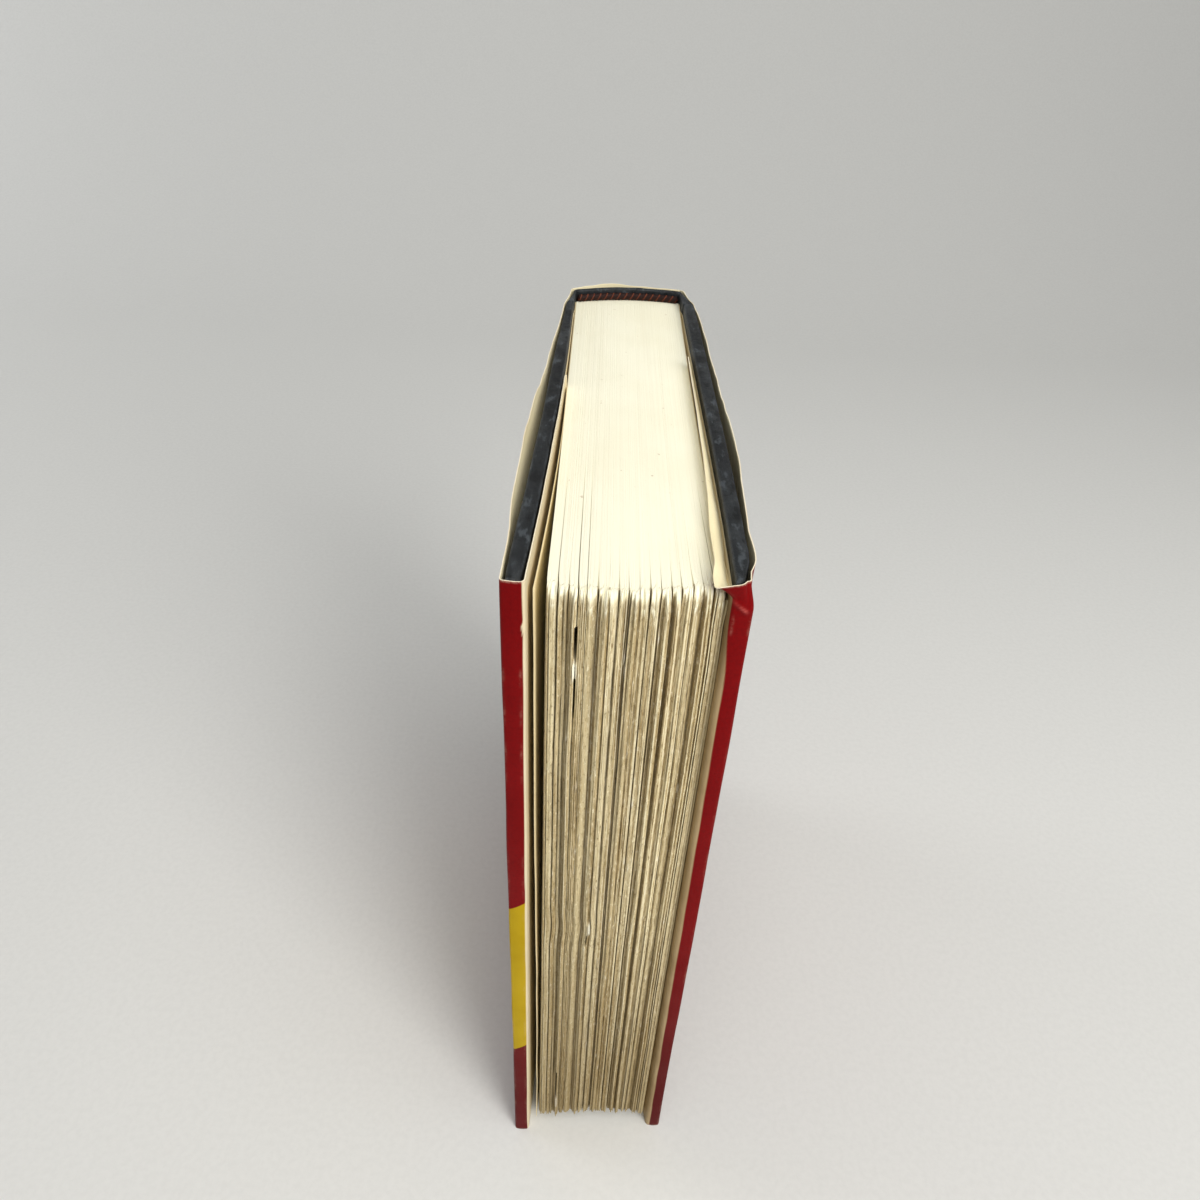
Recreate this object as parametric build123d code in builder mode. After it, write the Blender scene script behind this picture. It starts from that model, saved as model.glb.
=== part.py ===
from build123d import *
import math
import os

# Hardcover book standing on its tail: sewn text block, cloth-covered case with a French
# groove on each side, and a loose paper jacket.  Millimetres, +Z up, spine towards +Y,
# front cover on -X, back cover on +X.

# ---- text block -------------------------------------------------------------------
COVER_H = 210.0          # height of the case
SQUARE = 3.2             # boards stand proud of the leaves at head and tail
BLOCK_T = 30.2           # thickness of the leaves
BLOCK_D = 141.0          # shoulder of the spine to the fore-edge corner
SPINE_RISE = 2.4         # rounding of the back
FORE_RISE = 2.4          # the rough fore-edge swells out by this much
COCK = 0.08              # the book leans: the front side is pushed forward, the back side back
BLOCK_H = COVER_H - 2 * SQUARE
HALF = BLOCK_T / 2
LEAN = math.atan(COCK)
HALF_S = HALF / math.cos(LEAN)           # half width of the back along its own slant

# ---- spine layers, measured out from the rounded back ---------------------------------
SPINE_R = (HALF_S ** 2 + SPINE_RISE ** 2) / (2 * SPINE_RISE)
SPINE_CY = SPINE_RISE - SPINE_R          # centre of the rounding, shoulder line is y = 0
MULL = (0.04, 0.24)
LINER = (0.28, 0.48)
BAND_TAPE = (0.04, 0.34)
TURN_IN = (0.62, 0.92)
INLAY = (0.94, 1.60)
SPINE_CLOTH = (1.62, 1.92)
JACKET_SPINE = (2.20, 2.40)
BEAD_R = 0.8             # head and tail bands

# ---- case ------------------------------------------------------------------------
BOARD_T = 2.7
CLOTH_T = 0.3
PASTE_T = 0.15
GROOVE = 8.5             # shoulder to the covered spine edge of a board
FORE_SQUARE = 2.2        # covered board past the fore-edge corner
TURN = 15.0              # width of the cloth turned in
PASTE_SQUARE = 3.0       # pastedown stays this far inside the board edges
COVER_IN = 15.70         # inner face of a pastedown from the middle plane, cover parallel
EDGE_R = 0.9             # rounding of the covered board edges

# ---- hinges -----------------------------------------------------------------------
HINGE_X = 16.0           # vertical axis at the shoulder, from the middle plane
HINGE_Y = -1.5
OPEN_FRONT = 1.5         # covers stand open by this many degrees
OPEN_BACK = 0.5

# ---- jacket and endpapers -------------------------------------------------------------
JACKET_T = 0.2
BOW_FRONT = 3.0          # jacket panel stands off the board at mid depth
BOW_BACK = 2.2
FLAP_LEN = 84.0
FLAP_FRONT = 0.45        # flaps stand off the pastedown at the fold
FLAP_BACK = 0.55
FLAP_END = 0.25
ENDPAPER_T = 0.15

# derived cover levels, as u = distance out from the hinge axis, v = along the depth
U_IN = COVER_IN - HINGE_X                # inner face of the pastedown
U_TURN = U_IN + PASTE_T                  # inner face of the turned-in cloth
U_CORE = U_TURN + CLOTH_T                # inner face of the board
U_CORE_OUT = U_CORE + BOARD_T
U_OUT = U_CORE_OUT + CLOTH_T             # outer face of the cloth
V_SPINE = -GROOVE - HINGE_Y              # covered spine edge of the board
V_FORE = -(BLOCK_D + FORE_SQUARE) - HINGE_Y


def cover_plane(side, z_low, height):
    """Plane in a cover: x is out from the hinge, y runs towards the spine, an extrusion of
    the given height fills z_low to z_low + height."""
    a = math.radians(OPEN_BACK if side > 0 else OPEN_FRONT)
    z = z_low if side > 0 else z_low + height
    return Plane(
        origin=(side * HINGE_X, HINGE_Y + side * COCK * HINGE_X, z),
        x_dir=(side * math.cos(a), math.sin(a), 0),
        z_dir=(0, 0, side),
    )


def spine_pts(level, half_angle):
    """End, middle and end of an arc around the slanted back, at a level above the rounding."""
    r = SPINE_R + level
    out = []
    for t in (-half_angle, 0.0, half_angle):
        px, py = r * math.sin(t), SPINE_CY + r * math.cos(t)
        out.append((px * math.cos(LEAN) - py * math.sin(LEAN), px * math.sin(LEAN) + py * math.cos(LEAN)))
    return out


BACK_ANGLE = math.asin(HALF_S / SPINE_R)
LEFT, RIGHT = -COCK * HALF, COCK * HALF   # slip of the two sides along the depth

# ---- leaves ---------------------------------------------------------------------------
with BuildPart() as text_block:
    with BuildSketch(Plane.XY.offset(SQUARE)):
        with BuildLine():
            ThreePointArc(*spine_pts(0, BACK_ANGLE))
            Line((HALF, RIGHT), (HALF, RIGHT - BLOCK_D))
            ThreePointArc((HALF, RIGHT - BLOCK_D), (0, -BLOCK_D - FORE_RISE), (-HALF, LEFT - BLOCK_D))
            Line((-HALF, LEFT - BLOCK_D), (-HALF, LEFT))
        make_face()
    extrude(amount=BLOCK_H)
    fillet(text_block.edges().filter_by(Axis.Z).sort_by(Axis.Y)[:2], 0.6)
text_block.part.label = "text_block"


# ---- linings on the back ------------------------------------------------------------------
def back_layer(levels, z_low, height, half_angle):
    lo, hi = levels
    a0, am, a1 = spine_pts(lo, half_angle)
    b0, bm, b1 = spine_pts(hi, half_angle)
    with BuildPart() as layer:
        with BuildSketch(Plane.XY.offset(z_low)):
            with BuildLine():
                ThreePointArc(a0, am, a1)
                Line(a1, b1)
                ThreePointArc(b1, bm, b0)
                Line(b0, a0)
            make_face()
        extrude(amount=height)
    return layer


spine_mull = back_layer(MULL, 16.0, COVER_H - 32.0, BACK_ANGLE)
spine_mull.part.label = "spine_mull"
spine_liner = back_layer(LINER, 14.0, COVER_H - 28.0, BACK_ANGLE)
spine_liner.part.label = "spine_liner"


# ---- head and tail bands: a stitched bead on a narrow tape ----------------------------------
def band(z_page, up):
    bead_level = BAND_TAPE[1] - BEAD_R
    p0, pm, p1 = spine_pts(bead_level, BACK_ANGLE * 0.985)
    zc = z_page + up * BEAD_R
    tape_h = 9.0
    z0 = zc - tape_h if up > 0 else zc
    a0, am, a1 = spine_pts(BAND_TAPE[0], BACK_ANGLE * 0.985)
    b0, bm, b1 = spine_pts(BAND_TAPE[1], BACK_ANGLE * 0.985)
    with BuildPart() as strip:
        with BuildSketch(Plane.XY.offset(z0)):
            with BuildLine():
                ThreePointArc(a0, am, a1)
                Line(a1, b1)
                ThreePointArc(b1, bm, b0)
                Line(b0, a0)
            make_face()
        extrude(amount=tape_h)
        with BuildLine() as path:
            ThreePointArc((*p0, zc), (*pm, zc), (*p1, zc))
        with BuildSketch(Plane(origin=path.line @ 0, z_dir=path.line % 0)):
            Circle(BEAD_R)
        sweep(path=path.line)
    return strip


headband = band(SQUARE + BLOCK_H, 1)
headband.part.label = "headband"
tailband = band(SQUARE, -1)
tailband.part.label = "tailband"

# ---- card strip in the spine of the case ------------------------------------------------------
INLAY_ANGLE = math.asin((HALF_S + 0.2) / (SPINE_R + INLAY[1]))
spine_inlay = back_layer(INLAY, CLOTH_T + 0.02, COVER_H - 2 * (CLOTH_T + 0.02), INLAY_ANGLE)
spine_inlay.part.label = "spine_inlay"

# ---- spine cloth: over the card, turned in at head and tail, and down both grooves ----------------
CLOTH_ANGLE = math.asin((HALF_S + 0.75) / (SPINE_R + SPINE_CLOTH[1]))
GROOVE_X = HALF + 0.36                    # inner face of the cloth in the groove
GROOVE_END = -GROOVE + 0.75               # stops short of the board, which turns away from it
o0, om, o1 = spine_pts(SPINE_CLOTH[1], CLOTH_ANGLE)
i0, im, i1 = spine_pts(SPINE_CLOTH[0], INLAY_ANGLE)
with BuildPart() as spine_cloth:
    with BuildSketch(Plane.XY):
        with BuildLine():
            ThreePointArc(o0, om, o1)
            Line(o1, (o1[0], o1[1] - 0.55))
            Line((o1[0], o1[1] - 0.55), (GROOVE_X + CLOTH_T, RIGHT - 2.6))
            Line((GROOVE_X + CLOTH_T, RIGHT - 2.6), (GROOVE_X + CLOTH_T, RIGHT + GROOVE_END))
            Line((GROOVE_X + CLOTH_T, RIGHT + GROOVE_END), (GROOVE_X, RIGHT + GROOVE_END))
            Line((GROOVE_X, RIGHT + GROOVE_END), (GROOVE_X, RIGHT - 2.6))
            Line((GROOVE_X, RIGHT - 2.6), (i1[0] + 0.05, i1[1] - 0.75))
            Line((i1[0] + 0.05, i1[1] - 0.75), i1)
            ThreePointArc(i1, im, i0)
            Line(i0, (i0[0] - 0.05, i0[1] - 0.75))
            Line((i0[0] - 0.05, i0[1] - 0.75), (-GROOVE_X, LEFT - 2.6))
            Line((-GROOVE_X, LEFT - 2.6), (-GROOVE_X, LEFT + GROOVE_END))
            Line((-GROOVE_X, LEFT + GROOVE_END), (-GROOVE_X - CLOTH_T, LEFT + GROOVE_END))
            Line((-GROOVE_X - CLOTH_T, LEFT + GROOVE_END), (-GROOVE_X - CLOTH_T, LEFT - 2.6))
            Line((-GROOVE_X - CLOTH_T, LEFT - 2.6), (o0[0], o0[1] - 0.55))
            Line((o0[0], o0[1] - 0.55), o0)
        make_face()
    extrude(amount=COVER_H)
    # turned-in ends: over the end of the card and back down its inner face
    t0, tm, t1 = spine_pts(TURN_IN[0], INLAY_ANGLE)
    u0, um, u1 = spine_pts(TURN_IN[1], INLAY_ANGLE)
    w0, wm, w1 = spine_pts(SPINE_CLOTH[0] + 0.1, INLAY_ANGLE)
    for z_low in (0.0, COVER_H - TURN):
        with BuildSketch(Plane.XY.offset(z_low)):
            with BuildLine():
                ThreePointArc(t0, tm, t1)
                Line(t1, u1)
                ThreePointArc(u1, um, u0)
                Line(u0, t0)
            make_face()
        extrude(amount=TURN)
    for z_low in (0.0, COVER_H - CLOTH_T):
        with BuildSketch(Plane.XY.offset(z_low)):
            with BuildLine():
                ThreePointArc(t0, tm, t1)
                Line(t1, w1)
                ThreePointArc(w1, wm, w0)
                Line(w0, t0)
            make_face()
        extrude(amount=CLOTH_T)
spine_cloth.part.label = "spine_cloth"


# ---- boards ---------------------------------------------------------------------------------------
def make_board(side):
    z0 = CLOTH_T + 0.02
    v0, v1 = V_FORE + CLOTH_T + 0.02, V_SPINE - CLOTH_T - 0.02
    with BuildPart() as board:
        with BuildSketch(cover_plane(side, z0, COVER_H - 2 * z0)):
            with Locations(((U_CORE + U_CORE_OUT) / 2, (v0 + v1) / 2)):
                RectangleRounded(BOARD_T - 0.04, v1 - v0, 0.45)
        extrude(amount=COVER_H - 2 * z0)
    return board


# ---- cloth on a board: outer face, three edges turned in, one edge down to the groove ----------------
def make_cover_cloth(side):
    with BuildPart() as cloth:
        with BuildSketch(cover_plane(side, 0, COVER_H)):
            with Locations(((U_TURN + U_OUT) / 2, (V_FORE + V_SPINE) / 2)):
                RectangleRounded(U_OUT - U_TURN, V_SPINE - V_FORE, EDGE_R)
        extrude(amount=COVER_H)
        fillet(cloth.faces().sort_by(Axis.Z)[0].edges(), 0.6)
        fillet(cloth.faces().sort_by(Axis.Z)[-1].edges(), 0.6)
        # room for the board
        with BuildSketch(cover_plane(side, CLOTH_T, COVER_H - 2 * CLOTH_T)):
            with Locations(((U_CORE + U_CORE_OUT) / 2, (V_FORE + V_SPINE) / 2)):
                RectangleRounded(BOARD_T, V_SPINE - V_FORE - 2 * CLOTH_T, 0.45)
        extrude(amount=COVER_H - 2 * CLOTH_T, mode=Mode.SUBTRACT)
        # the bare inside between the turn-ins, open at the spine edge
        v0, v1 = V_FORE + TURN, V_SPINE - CLOTH_T - 0.6
        with BuildSketch(cover_plane(side, TURN, COVER_H - 2 * TURN)):
            with Locations((U_TURN, (v0 + v1) / 2)):
                Rectangle(2 * CLOTH_T + 0.1, v1 - v0)
        extrude(amount=COVER_H - 2 * TURN, mode=Mode.SUBTRACT)
    return cloth


# ---- pastedown: one sheet, lying over the turn-ins and stepping down on the board -----------------------
def make_pastedown(side):
    z0 = SQUARE
    h = COVER_H - 2 * z0
    v0, v1 = V_FORE + PASTE_SQUARE, V_SPINE - 0.6
    s = CLOTH_T - 0.04                      # depth of the step
    r0, r1 = V_FORE + TURN + 0.15, V_SPINE - CLOTH_T - 0.75
    with BuildPart() as paste:
        with BuildSketch(cover_plane(side, z0, h)):
            with Locations((U_IN + PASTE_T / 2 - 0.02, (v0 + v1) / 2)):
                Rectangle(PASTE_T, v1 - v0)
        extrude(amount=h)
        with BuildSketch(cover_plane(side, TURN + 0.15, COVER_H - 2 * TURN - 0.3)):
            with Locations((U_IN + (PASTE_T + s) / 2, (r0 + r1) / 2)):
                Rectangle(PASTE_T + s, r1 - r0)
        extrude(amount=COVER_H - 2 * TURN - 0.3)
        with BuildSketch(cover_plane(side, TURN + 0.3, COVER_H - 2 * TURN - 0.6)):
            with Locations((U_IN - 0.1 + s / 2, (r0 + r1) / 2)):
                Rectangle(s + 0.2, r1 - r0 - 0.3)
        extrude(amount=COVER_H - 2 * TURN - 0.6, mode=Mode.SUBTRACT)
    return paste


# ---- jacket over a cover: bowed panel, fold round the fore-edge, flap inside ------------------------------
def make_jacket_panel(side):
    bow = BOW_BACK if side > 0 else BOW_FRONT
    t = JACKET_T
    ps = (U_OUT + 0.30, V_SPINE + 0.55)              # hinge end, inner side of the paper
    pm = (U_OUT + 0.30 + bow, (V_SPINE + V_FORE) / 2)
    pe = (U_OUT + 0.30, V_FORE + 1.2)
    fold = V_FORE - 0.35
    uf = U_IN - (FLAP_BACK if side > 0 else FLAP_FRONT)
    ue = U_IN - FLAP_END
    with BuildPart() as panel:
        with BuildSketch(cover_plane(side, 0, COVER_H)):
            with BuildLine():
                ThreePointArc(ps, pm, pe)
                Line(pe, (pe[0] - 0.1, fold + 0.5))
                ThreePointArc((pe[0] - 0.1, fold + 0.5), (pe[0] - 0.28, fold + 0.14), (pe[0] - 0.7, fold))
                Line((pe[0] - 0.7, fold), (uf + 0.6, fold))
                ThreePointArc((uf + 0.6, fold), (uf + 0.16, fold + 0.16), (uf, fold + 0.6))
                Line((uf, fold + 0.6), (ue, V_FORE + FLAP_LEN))
                # outer side of the paper
                Line((ue, V_FORE + FLAP_LEN), (ue - t, V_FORE + FLAP_LEN))
                Line((ue - t, V_FORE + FLAP_LEN), (uf - t, fold + 0.6))
                ThreePointArc((uf - t, fold + 0.6), (uf + 0.02, fold + 0.02), (uf + 0.6, fold - t))
                Line((uf + 0.6, fold - t), (pe[0] - 0.7, fold - t))
                ThreePointArc((pe[0] - 0.7, fold - t), (pe[0] - 0.12, fold - 0.01), (pe[0] - 0.1 + t, fold + 0.5))
                Line((pe[0] - 0.1 + t, fold + 0.5), (pe[0] + t, pe[1]))
                ThreePointArc((pe[0] + t, pe[1]), (pm[0] + t, pm[1]), (ps[0] + t, ps[1]))
                Line((ps[0] + t, ps[1]), ps)
            make_face()
        extrude(amount=COVER_H)
    return panel


front_board = make_board(-1)
front_board.part.label = "front_board"
back_board = make_board(1)
back_board.part.label = "back_board"
front_cover_cloth = make_cover_cloth(-1)
front_cover_cloth.part.label = "front_cover_cloth"
back_cover_cloth = make_cover_cloth(1)
back_cover_cloth.part.label = "back_cover_cloth"
front_pastedown = make_pastedown(-1)
front_pastedown.part.label = "front_pastedown"
back_pastedown = make_pastedown(1)
back_pastedown.part.label = "back_pastedown"
jacket_front = make_jacket_panel(-1)
jacket_front.part.label = "jacket_front"
jacket_back = make_jacket_panel(1)
jacket_back.part.label = "jacket_back"

# ---- jacket round the spine, with short wings over the grooves -------------------------------------------
JSP_ANGLE = math.asin((HALF_S + 1.35) / (SPINE_R + JACKET_SPINE[1]))
j0, jm, j1 = spine_pts(JACKET_SPINE[1], JSP_ANGLE)
k0, km, k1 = spine_pts(JACKET_SPINE[0], JSP_ANGLE)
WING_R = (HINGE_X + 2.75, RIGHT - 6.9)    # outer ends of the wings
WING_L = (-HINGE_X - 2.75, LEFT - 6.9)
with BuildPart() as jacket_spine:
    with BuildSketch(Plane.XY):
        with BuildLine():
            ThreePointArc(j0, jm, j1)
            Line(j1, (j1[0] + 0.25, j1[1] - 0.5))
            Line((j1[0] + 0.25, j1[1] - 0.5), WING_R)
            Line(WING_R, (WING_R[0] - JACKET_T, WING_R[1]))
            Line((WING_R[0] - JACKET_T, WING_R[1]), (k1[0] + 0.06, k1[1] - 0.5))
            Line((k1[0] + 0.06, k1[1] - 0.5), k1)
            ThreePointArc(k1, km, k0)
            Line(k0, (k0[0] - 0.06, k0[1] - 0.5))
            Line((k0[0] - 0.06, k0[1] - 0.5), (WING_L[0] + JACKET_T, WING_L[1]))
            Line((WING_L[0] + JACKET_T, WING_L[1]), WING_L)
            Line(WING_L, (j0[0] - 0.25, j0[1] - 0.5))
            Line((j0[0] - 0.25, j0[1] - 0.5), j0)
        make_face()
    extrude(amount=COVER_H)
jacket_spine.part.label = "jacket_spine"


# ---- free endpapers: tipped to the leaves at the shoulder, springing away towards the fore-edge -----------
def make_endpaper(side, stand):
    x0 = HALF + 0.04
    t = ENDPAPER_T
    top = side * COCK * HALF - 0.6
    bend = side * COCK * HALF - 0.45 * BLOCK_D
    end = side * COCK * HALF - BLOCK_D - 0.2
    mid = (bend + end) / 2
    with BuildPart() as leaf:
        with BuildSketch(Plane.XY.offset(SQUARE)):
            with BuildLine():
                Line((side * x0, top), (side * x0, bend))
                ThreePointArc((side * x0, bend), (side * (x0 + stand / 4), mid), (side * (x0 + stand), end))
                Line((side * (x0 + stand), end), (side * (x0 + stand + t), end))
                ThreePointArc((side * (x0 + stand + t), end), (side * (x0 + stand / 4 + t), mid), (side * (x0 + t), bend))
                Line((side * (x0 + t), bend), (side * (x0 + t), top))
                Line((side * (x0 + t), top), (side * x0, top))
            make_face()
        extrude(amount=BLOCK_H)
    return leaf


front_free_endpaper = make_endpaper(-1, 2.2)
front_free_endpaper.part.label = "front_free_endpaper"
back_free_endpaper = make_endpaper(1, 0.3)
back_free_endpaper.part.label = "back_free_endpaper"

# ---- one frame for all: origin under the middle of the whole book -----------------------------------------
pieces = [
    text_block, spine_mull, spine_liner, headband, tailband, spine_inlay, spine_cloth,
    front_board, back_board, front_cover_cloth, back_cover_cloth, front_pastedown, back_pastedown,
    jacket_front, jacket_spine, jacket_back, front_free_endpaper, back_free_endpaper,
]
boxes = [p.part.bounding_box() for p in pieces]
x_lo, x_hi = min(b.min.X for b in boxes), max(b.max.X for b in boxes)
y_lo, y_hi = min(b.min.Y for b in boxes), max(b.max.Y for b in boxes)
SHIFT = Location((-(x_lo + x_hi) / 2, -(y_lo + y_hi) / 2, 0))

os.makedirs("parts", exist_ok=True)
for p in pieces:
    name = p.part.label
    moved = p.part.moved(SHIFT)
    moved.label = name
    export_step(moved, f"parts/{name}.step")

print("overall", round(x_hi - x_lo, 3), round(y_hi - y_lo, 3), COVER_H)
print("shift", [round(v, 4) for v in SHIFT.position])
for side, name in ((-1, "front"), (1, "back")):
    print(name, "hinge", round(side * HINGE_X + SHIFT.position.X, 4), round(HINGE_Y + side * COCK * HINGE_X + SHIFT.position.Y, 4))
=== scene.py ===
import math

import bpy
import numpy as np
from mathutils import Matrix, Vector


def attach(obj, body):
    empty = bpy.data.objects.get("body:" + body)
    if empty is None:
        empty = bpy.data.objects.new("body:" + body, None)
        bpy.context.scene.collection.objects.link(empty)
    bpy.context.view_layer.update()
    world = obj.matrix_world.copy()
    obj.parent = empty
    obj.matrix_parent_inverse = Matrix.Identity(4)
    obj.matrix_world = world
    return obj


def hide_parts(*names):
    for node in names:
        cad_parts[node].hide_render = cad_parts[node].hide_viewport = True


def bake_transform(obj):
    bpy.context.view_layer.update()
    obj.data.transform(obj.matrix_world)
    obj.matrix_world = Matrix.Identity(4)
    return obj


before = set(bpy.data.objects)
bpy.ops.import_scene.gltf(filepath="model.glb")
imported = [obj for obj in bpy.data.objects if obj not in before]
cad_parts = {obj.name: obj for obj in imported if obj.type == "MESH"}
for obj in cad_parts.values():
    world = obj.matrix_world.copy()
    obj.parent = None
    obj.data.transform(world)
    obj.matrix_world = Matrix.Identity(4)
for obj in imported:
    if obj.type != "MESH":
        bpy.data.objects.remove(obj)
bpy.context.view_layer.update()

# The book stands on its tail, spine towards +Y, front cover on -X. Shapes are worked out in
# millimetres in the book's own frame (spine shoulder line at y = 0) and moved into the row frame.
SHIFT = np.array([1.1492, 70.0198, 0.0])
SLIP = 0.08                       # the block leans: one side pushed forward
LEAN = math.atan(SLIP)
HALF, BACK_R, BACK_CY = 15.1, 49.006, -46.606
BACK_ANGLE = math.asin(15.148 / BACK_R)
HEAD, TAIL, CASE_H = 206.8, 3.2, 210.0
HINGE = {-1: (16.0, -2.78, math.radians(1.5)), 1: (16.0, -0.22, math.radians(0.5))}
U_IN, U_TURN, U_OUT = -0.30, -0.15, 3.15
V_SPINE, V_FORE = -7.0, -141.7
SIDE_NAME = {-1: "front", 1: "back"}


# ---------------------------------------------------------------- small maths
def smooth(x, lo, hi):
    t = np.clip((np.asarray(x, float) - lo) / (hi - lo), 0.0, 1.0)
    return t * t * (3 - 2 * t)


def bell(x, mid, width):
    return np.exp(-(((np.asarray(x, float) - mid) / width) ** 2))


class Noise:
    """Smooth value noise from a seeded table, about -1 to 1."""

    def __init__(self, seed, size=512):
        self.t = np.random.default_rng(seed).uniform(-1, 1, (size, size))
        self.n = size

    def __call__(self, x, y=0.0):
        x, y = np.broadcast_arrays(np.asarray(x, float), np.asarray(y, float))
        i, j = np.floor(x).astype(int), np.floor(y).astype(int)
        a, b = x - i, y - j
        a, b = a * a * (3 - 2 * a), b * b * (3 - 2 * b)
        g = lambda p, q: self.t[p % self.n, q % self.n]
        return (g(i, j) * (1 - a) + g(i + 1, j) * a) * (1 - b) + (g(i, j + 1) * (1 - a) + g(i + 1, j + 1) * a) * b


def spine_point(level, angle):
    """A point of the slanted round back, at a level above the leaves."""
    r = BACK_R + np.asarray(level, float)
    px, py = r * np.sin(angle), BACK_CY + r * np.cos(angle)
    return np.stack([px * math.cos(LEAN) - py * math.sin(LEAN), px * math.sin(LEAN) + py * math.cos(LEAN)], -1)


def table(d, values, step=0.5, soften=4.0):
    """A softened curve through listed values, read by distance."""
    at = np.arange(-40.0, 200.0, step)
    raw = np.interp(at, d, values)
    k = np.exp(-(np.arange(-30, 31) * step / soften) ** 2)
    return at, np.convolve(np.pad(raw, 30, mode="edge"), k / k.sum(), "valid")


# the boards are warped: the front one bows towards the leaves, the back one away from them (distances from the fore-edge)
WARP = {-1: table([0, 3, 11, 25, 33, 49, 67, 78, 96, 106, 117, 127, 135, 142], [0, 0.08, 0.34, 0.62, 0.75, 0.92, 1.08, 1.10, 1.0, 0.88, 0.68, 0.45, 0.30, 0.22]),
        1: table([0, 5, 12, 25, 40, 60, 80, 105, 120, 142], [-0.50, -0.58, -0.70, -0.80, -0.80, -0.70, -0.50, -0.25, -0.10, 0])}
# the cloth thins out towards the joint
THIN = {-1: table([0, 92, 106, 117, 127, 135, 142], [0, 0, 0.25, 0.72, 1.05, 1.30, 1.35]), 1: table([0, 116, 135, 142], [0, 0, 0.50, 0.6])}


def warp(side, v):
    return np.interp(np.asarray(v, float) - V_FORE, *WARP[side])


def thin(side, v):
    return np.interp(np.asarray(v, float) - V_FORE, *THIN[side])


FAN = {-1: table([3, 17, 62, 144, 190, 206.8], [0.85, 0.85, 0.65, 0.48, 0.42, 0.24]),
       1: table([3, 17, 50, 100, 150, 178, 191, 200, 206.8], [0.75, 0.80, 0.95, 1.25, 1.50, 1.65, 1.68, 1.48, 1.05])}
FAN_LEN = 30.0


def fan(side, z):
    """How far the leaves fan out at the fore-edge, by height."""
    at, v = FAN[side]
    return np.interp(np.clip(z, 3.0, 206.0), at, v)


def flat_point(side, u, v):
    """Plan point of a cover: u out from the hinge axis, v along the depth."""
    hx, hy, a = HINGE[side]
    u, v = np.asarray(u, float), np.asarray(v, float)
    return np.stack([side * (hx + u * math.cos(a) - v * math.sin(a)), hy + u * math.sin(a) + v * math.cos(a)], -1)


def cover_point(side, u, v):
    """The same on the warped board."""
    return flat_point(side, np.asarray(u, float) - warp(side, v), v)


def through(points, per=10):
    """A smooth line through the points (Catmull-Rom)."""
    p = np.asarray(points, float)
    p = np.vstack([2 * p[0] - p[1], p, 2 * p[-1] - p[-2]])
    out = []
    for k in range(1, len(p) - 2):
        t = np.linspace(0, 1, per, endpoint=False)[:, None]
        a, b, c, d = p[k - 1], p[k], p[k + 1], p[k + 2]
        out.append(0.5 * ((2 * b) + (c - a) * t + (2 * a - 5 * b + 4 * c - d) * t ** 2 + (3 * b - a - 3 * c + d) * t ** 3))
    return np.vstack(out + [p[-2][None]])


def lengths(line):
    return np.concatenate([[0], np.cumsum(np.linalg.norm(np.diff(line, axis=0), axis=1))])


def even(line, count):
    s = lengths(line)
    at = np.linspace(0, s[-1], count)
    return np.stack([np.interp(at, s, line[:, k]) for k in range(line.shape[1])], 1)


# ---------------------------------------------------------------- meshes
def make_object(name, points_mm, faces, materials, face_mats=None, smooth_faces=True, uv=None, attrs=None):
    me = bpy.data.meshes.new(name)
    co = (np.asarray(points_mm, float) + SHIFT) * 0.001
    me.from_pydata(co.tolist(), [], [tuple(int(i) for i in f) for f in faces])
    for m in materials:
        me.materials.append(m)
    if face_mats is not None:
        me.polygons.foreach_set("material_index", np.asarray(face_mats, np.int32))
    flags = np.broadcast_to(np.asarray(smooth_faces, bool), (len(me.polygons),))
    me.polygons.foreach_set("use_smooth", np.ascontiguousarray(flags))
    if uv is not None:
        loops = np.zeros(len(me.loops), np.int32)
        me.loops.foreach_get("vertex_index", loops)
        layer = me.uv_layers.new(name="sheet")
        layer.data.foreach_set("uv", np.asarray(uv, np.float32)[loops].ravel())
    for key, values in (attrs or {}).items():
        a = me.attributes.new(key, "FLOAT", "POINT")
        a.data.foreach_set("value", np.asarray(values, np.float32).ravel())
    me.validate()
    me.update()
    o = bpy.data.objects.new(name, me)
    bpy.context.scene.collection.objects.link(o)
    return o


def grid_faces(n, m, flip=False, start=0):
    i, j = np.meshgrid(np.arange(n - 1), np.arange(m - 1), indexing="ij")
    a = start + i * m + j
    q = np.stack([a, a + m, a + m + 1, a + 1], -1).reshape(-1, 4)
    return q[:, ::-1] if flip else q


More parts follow.
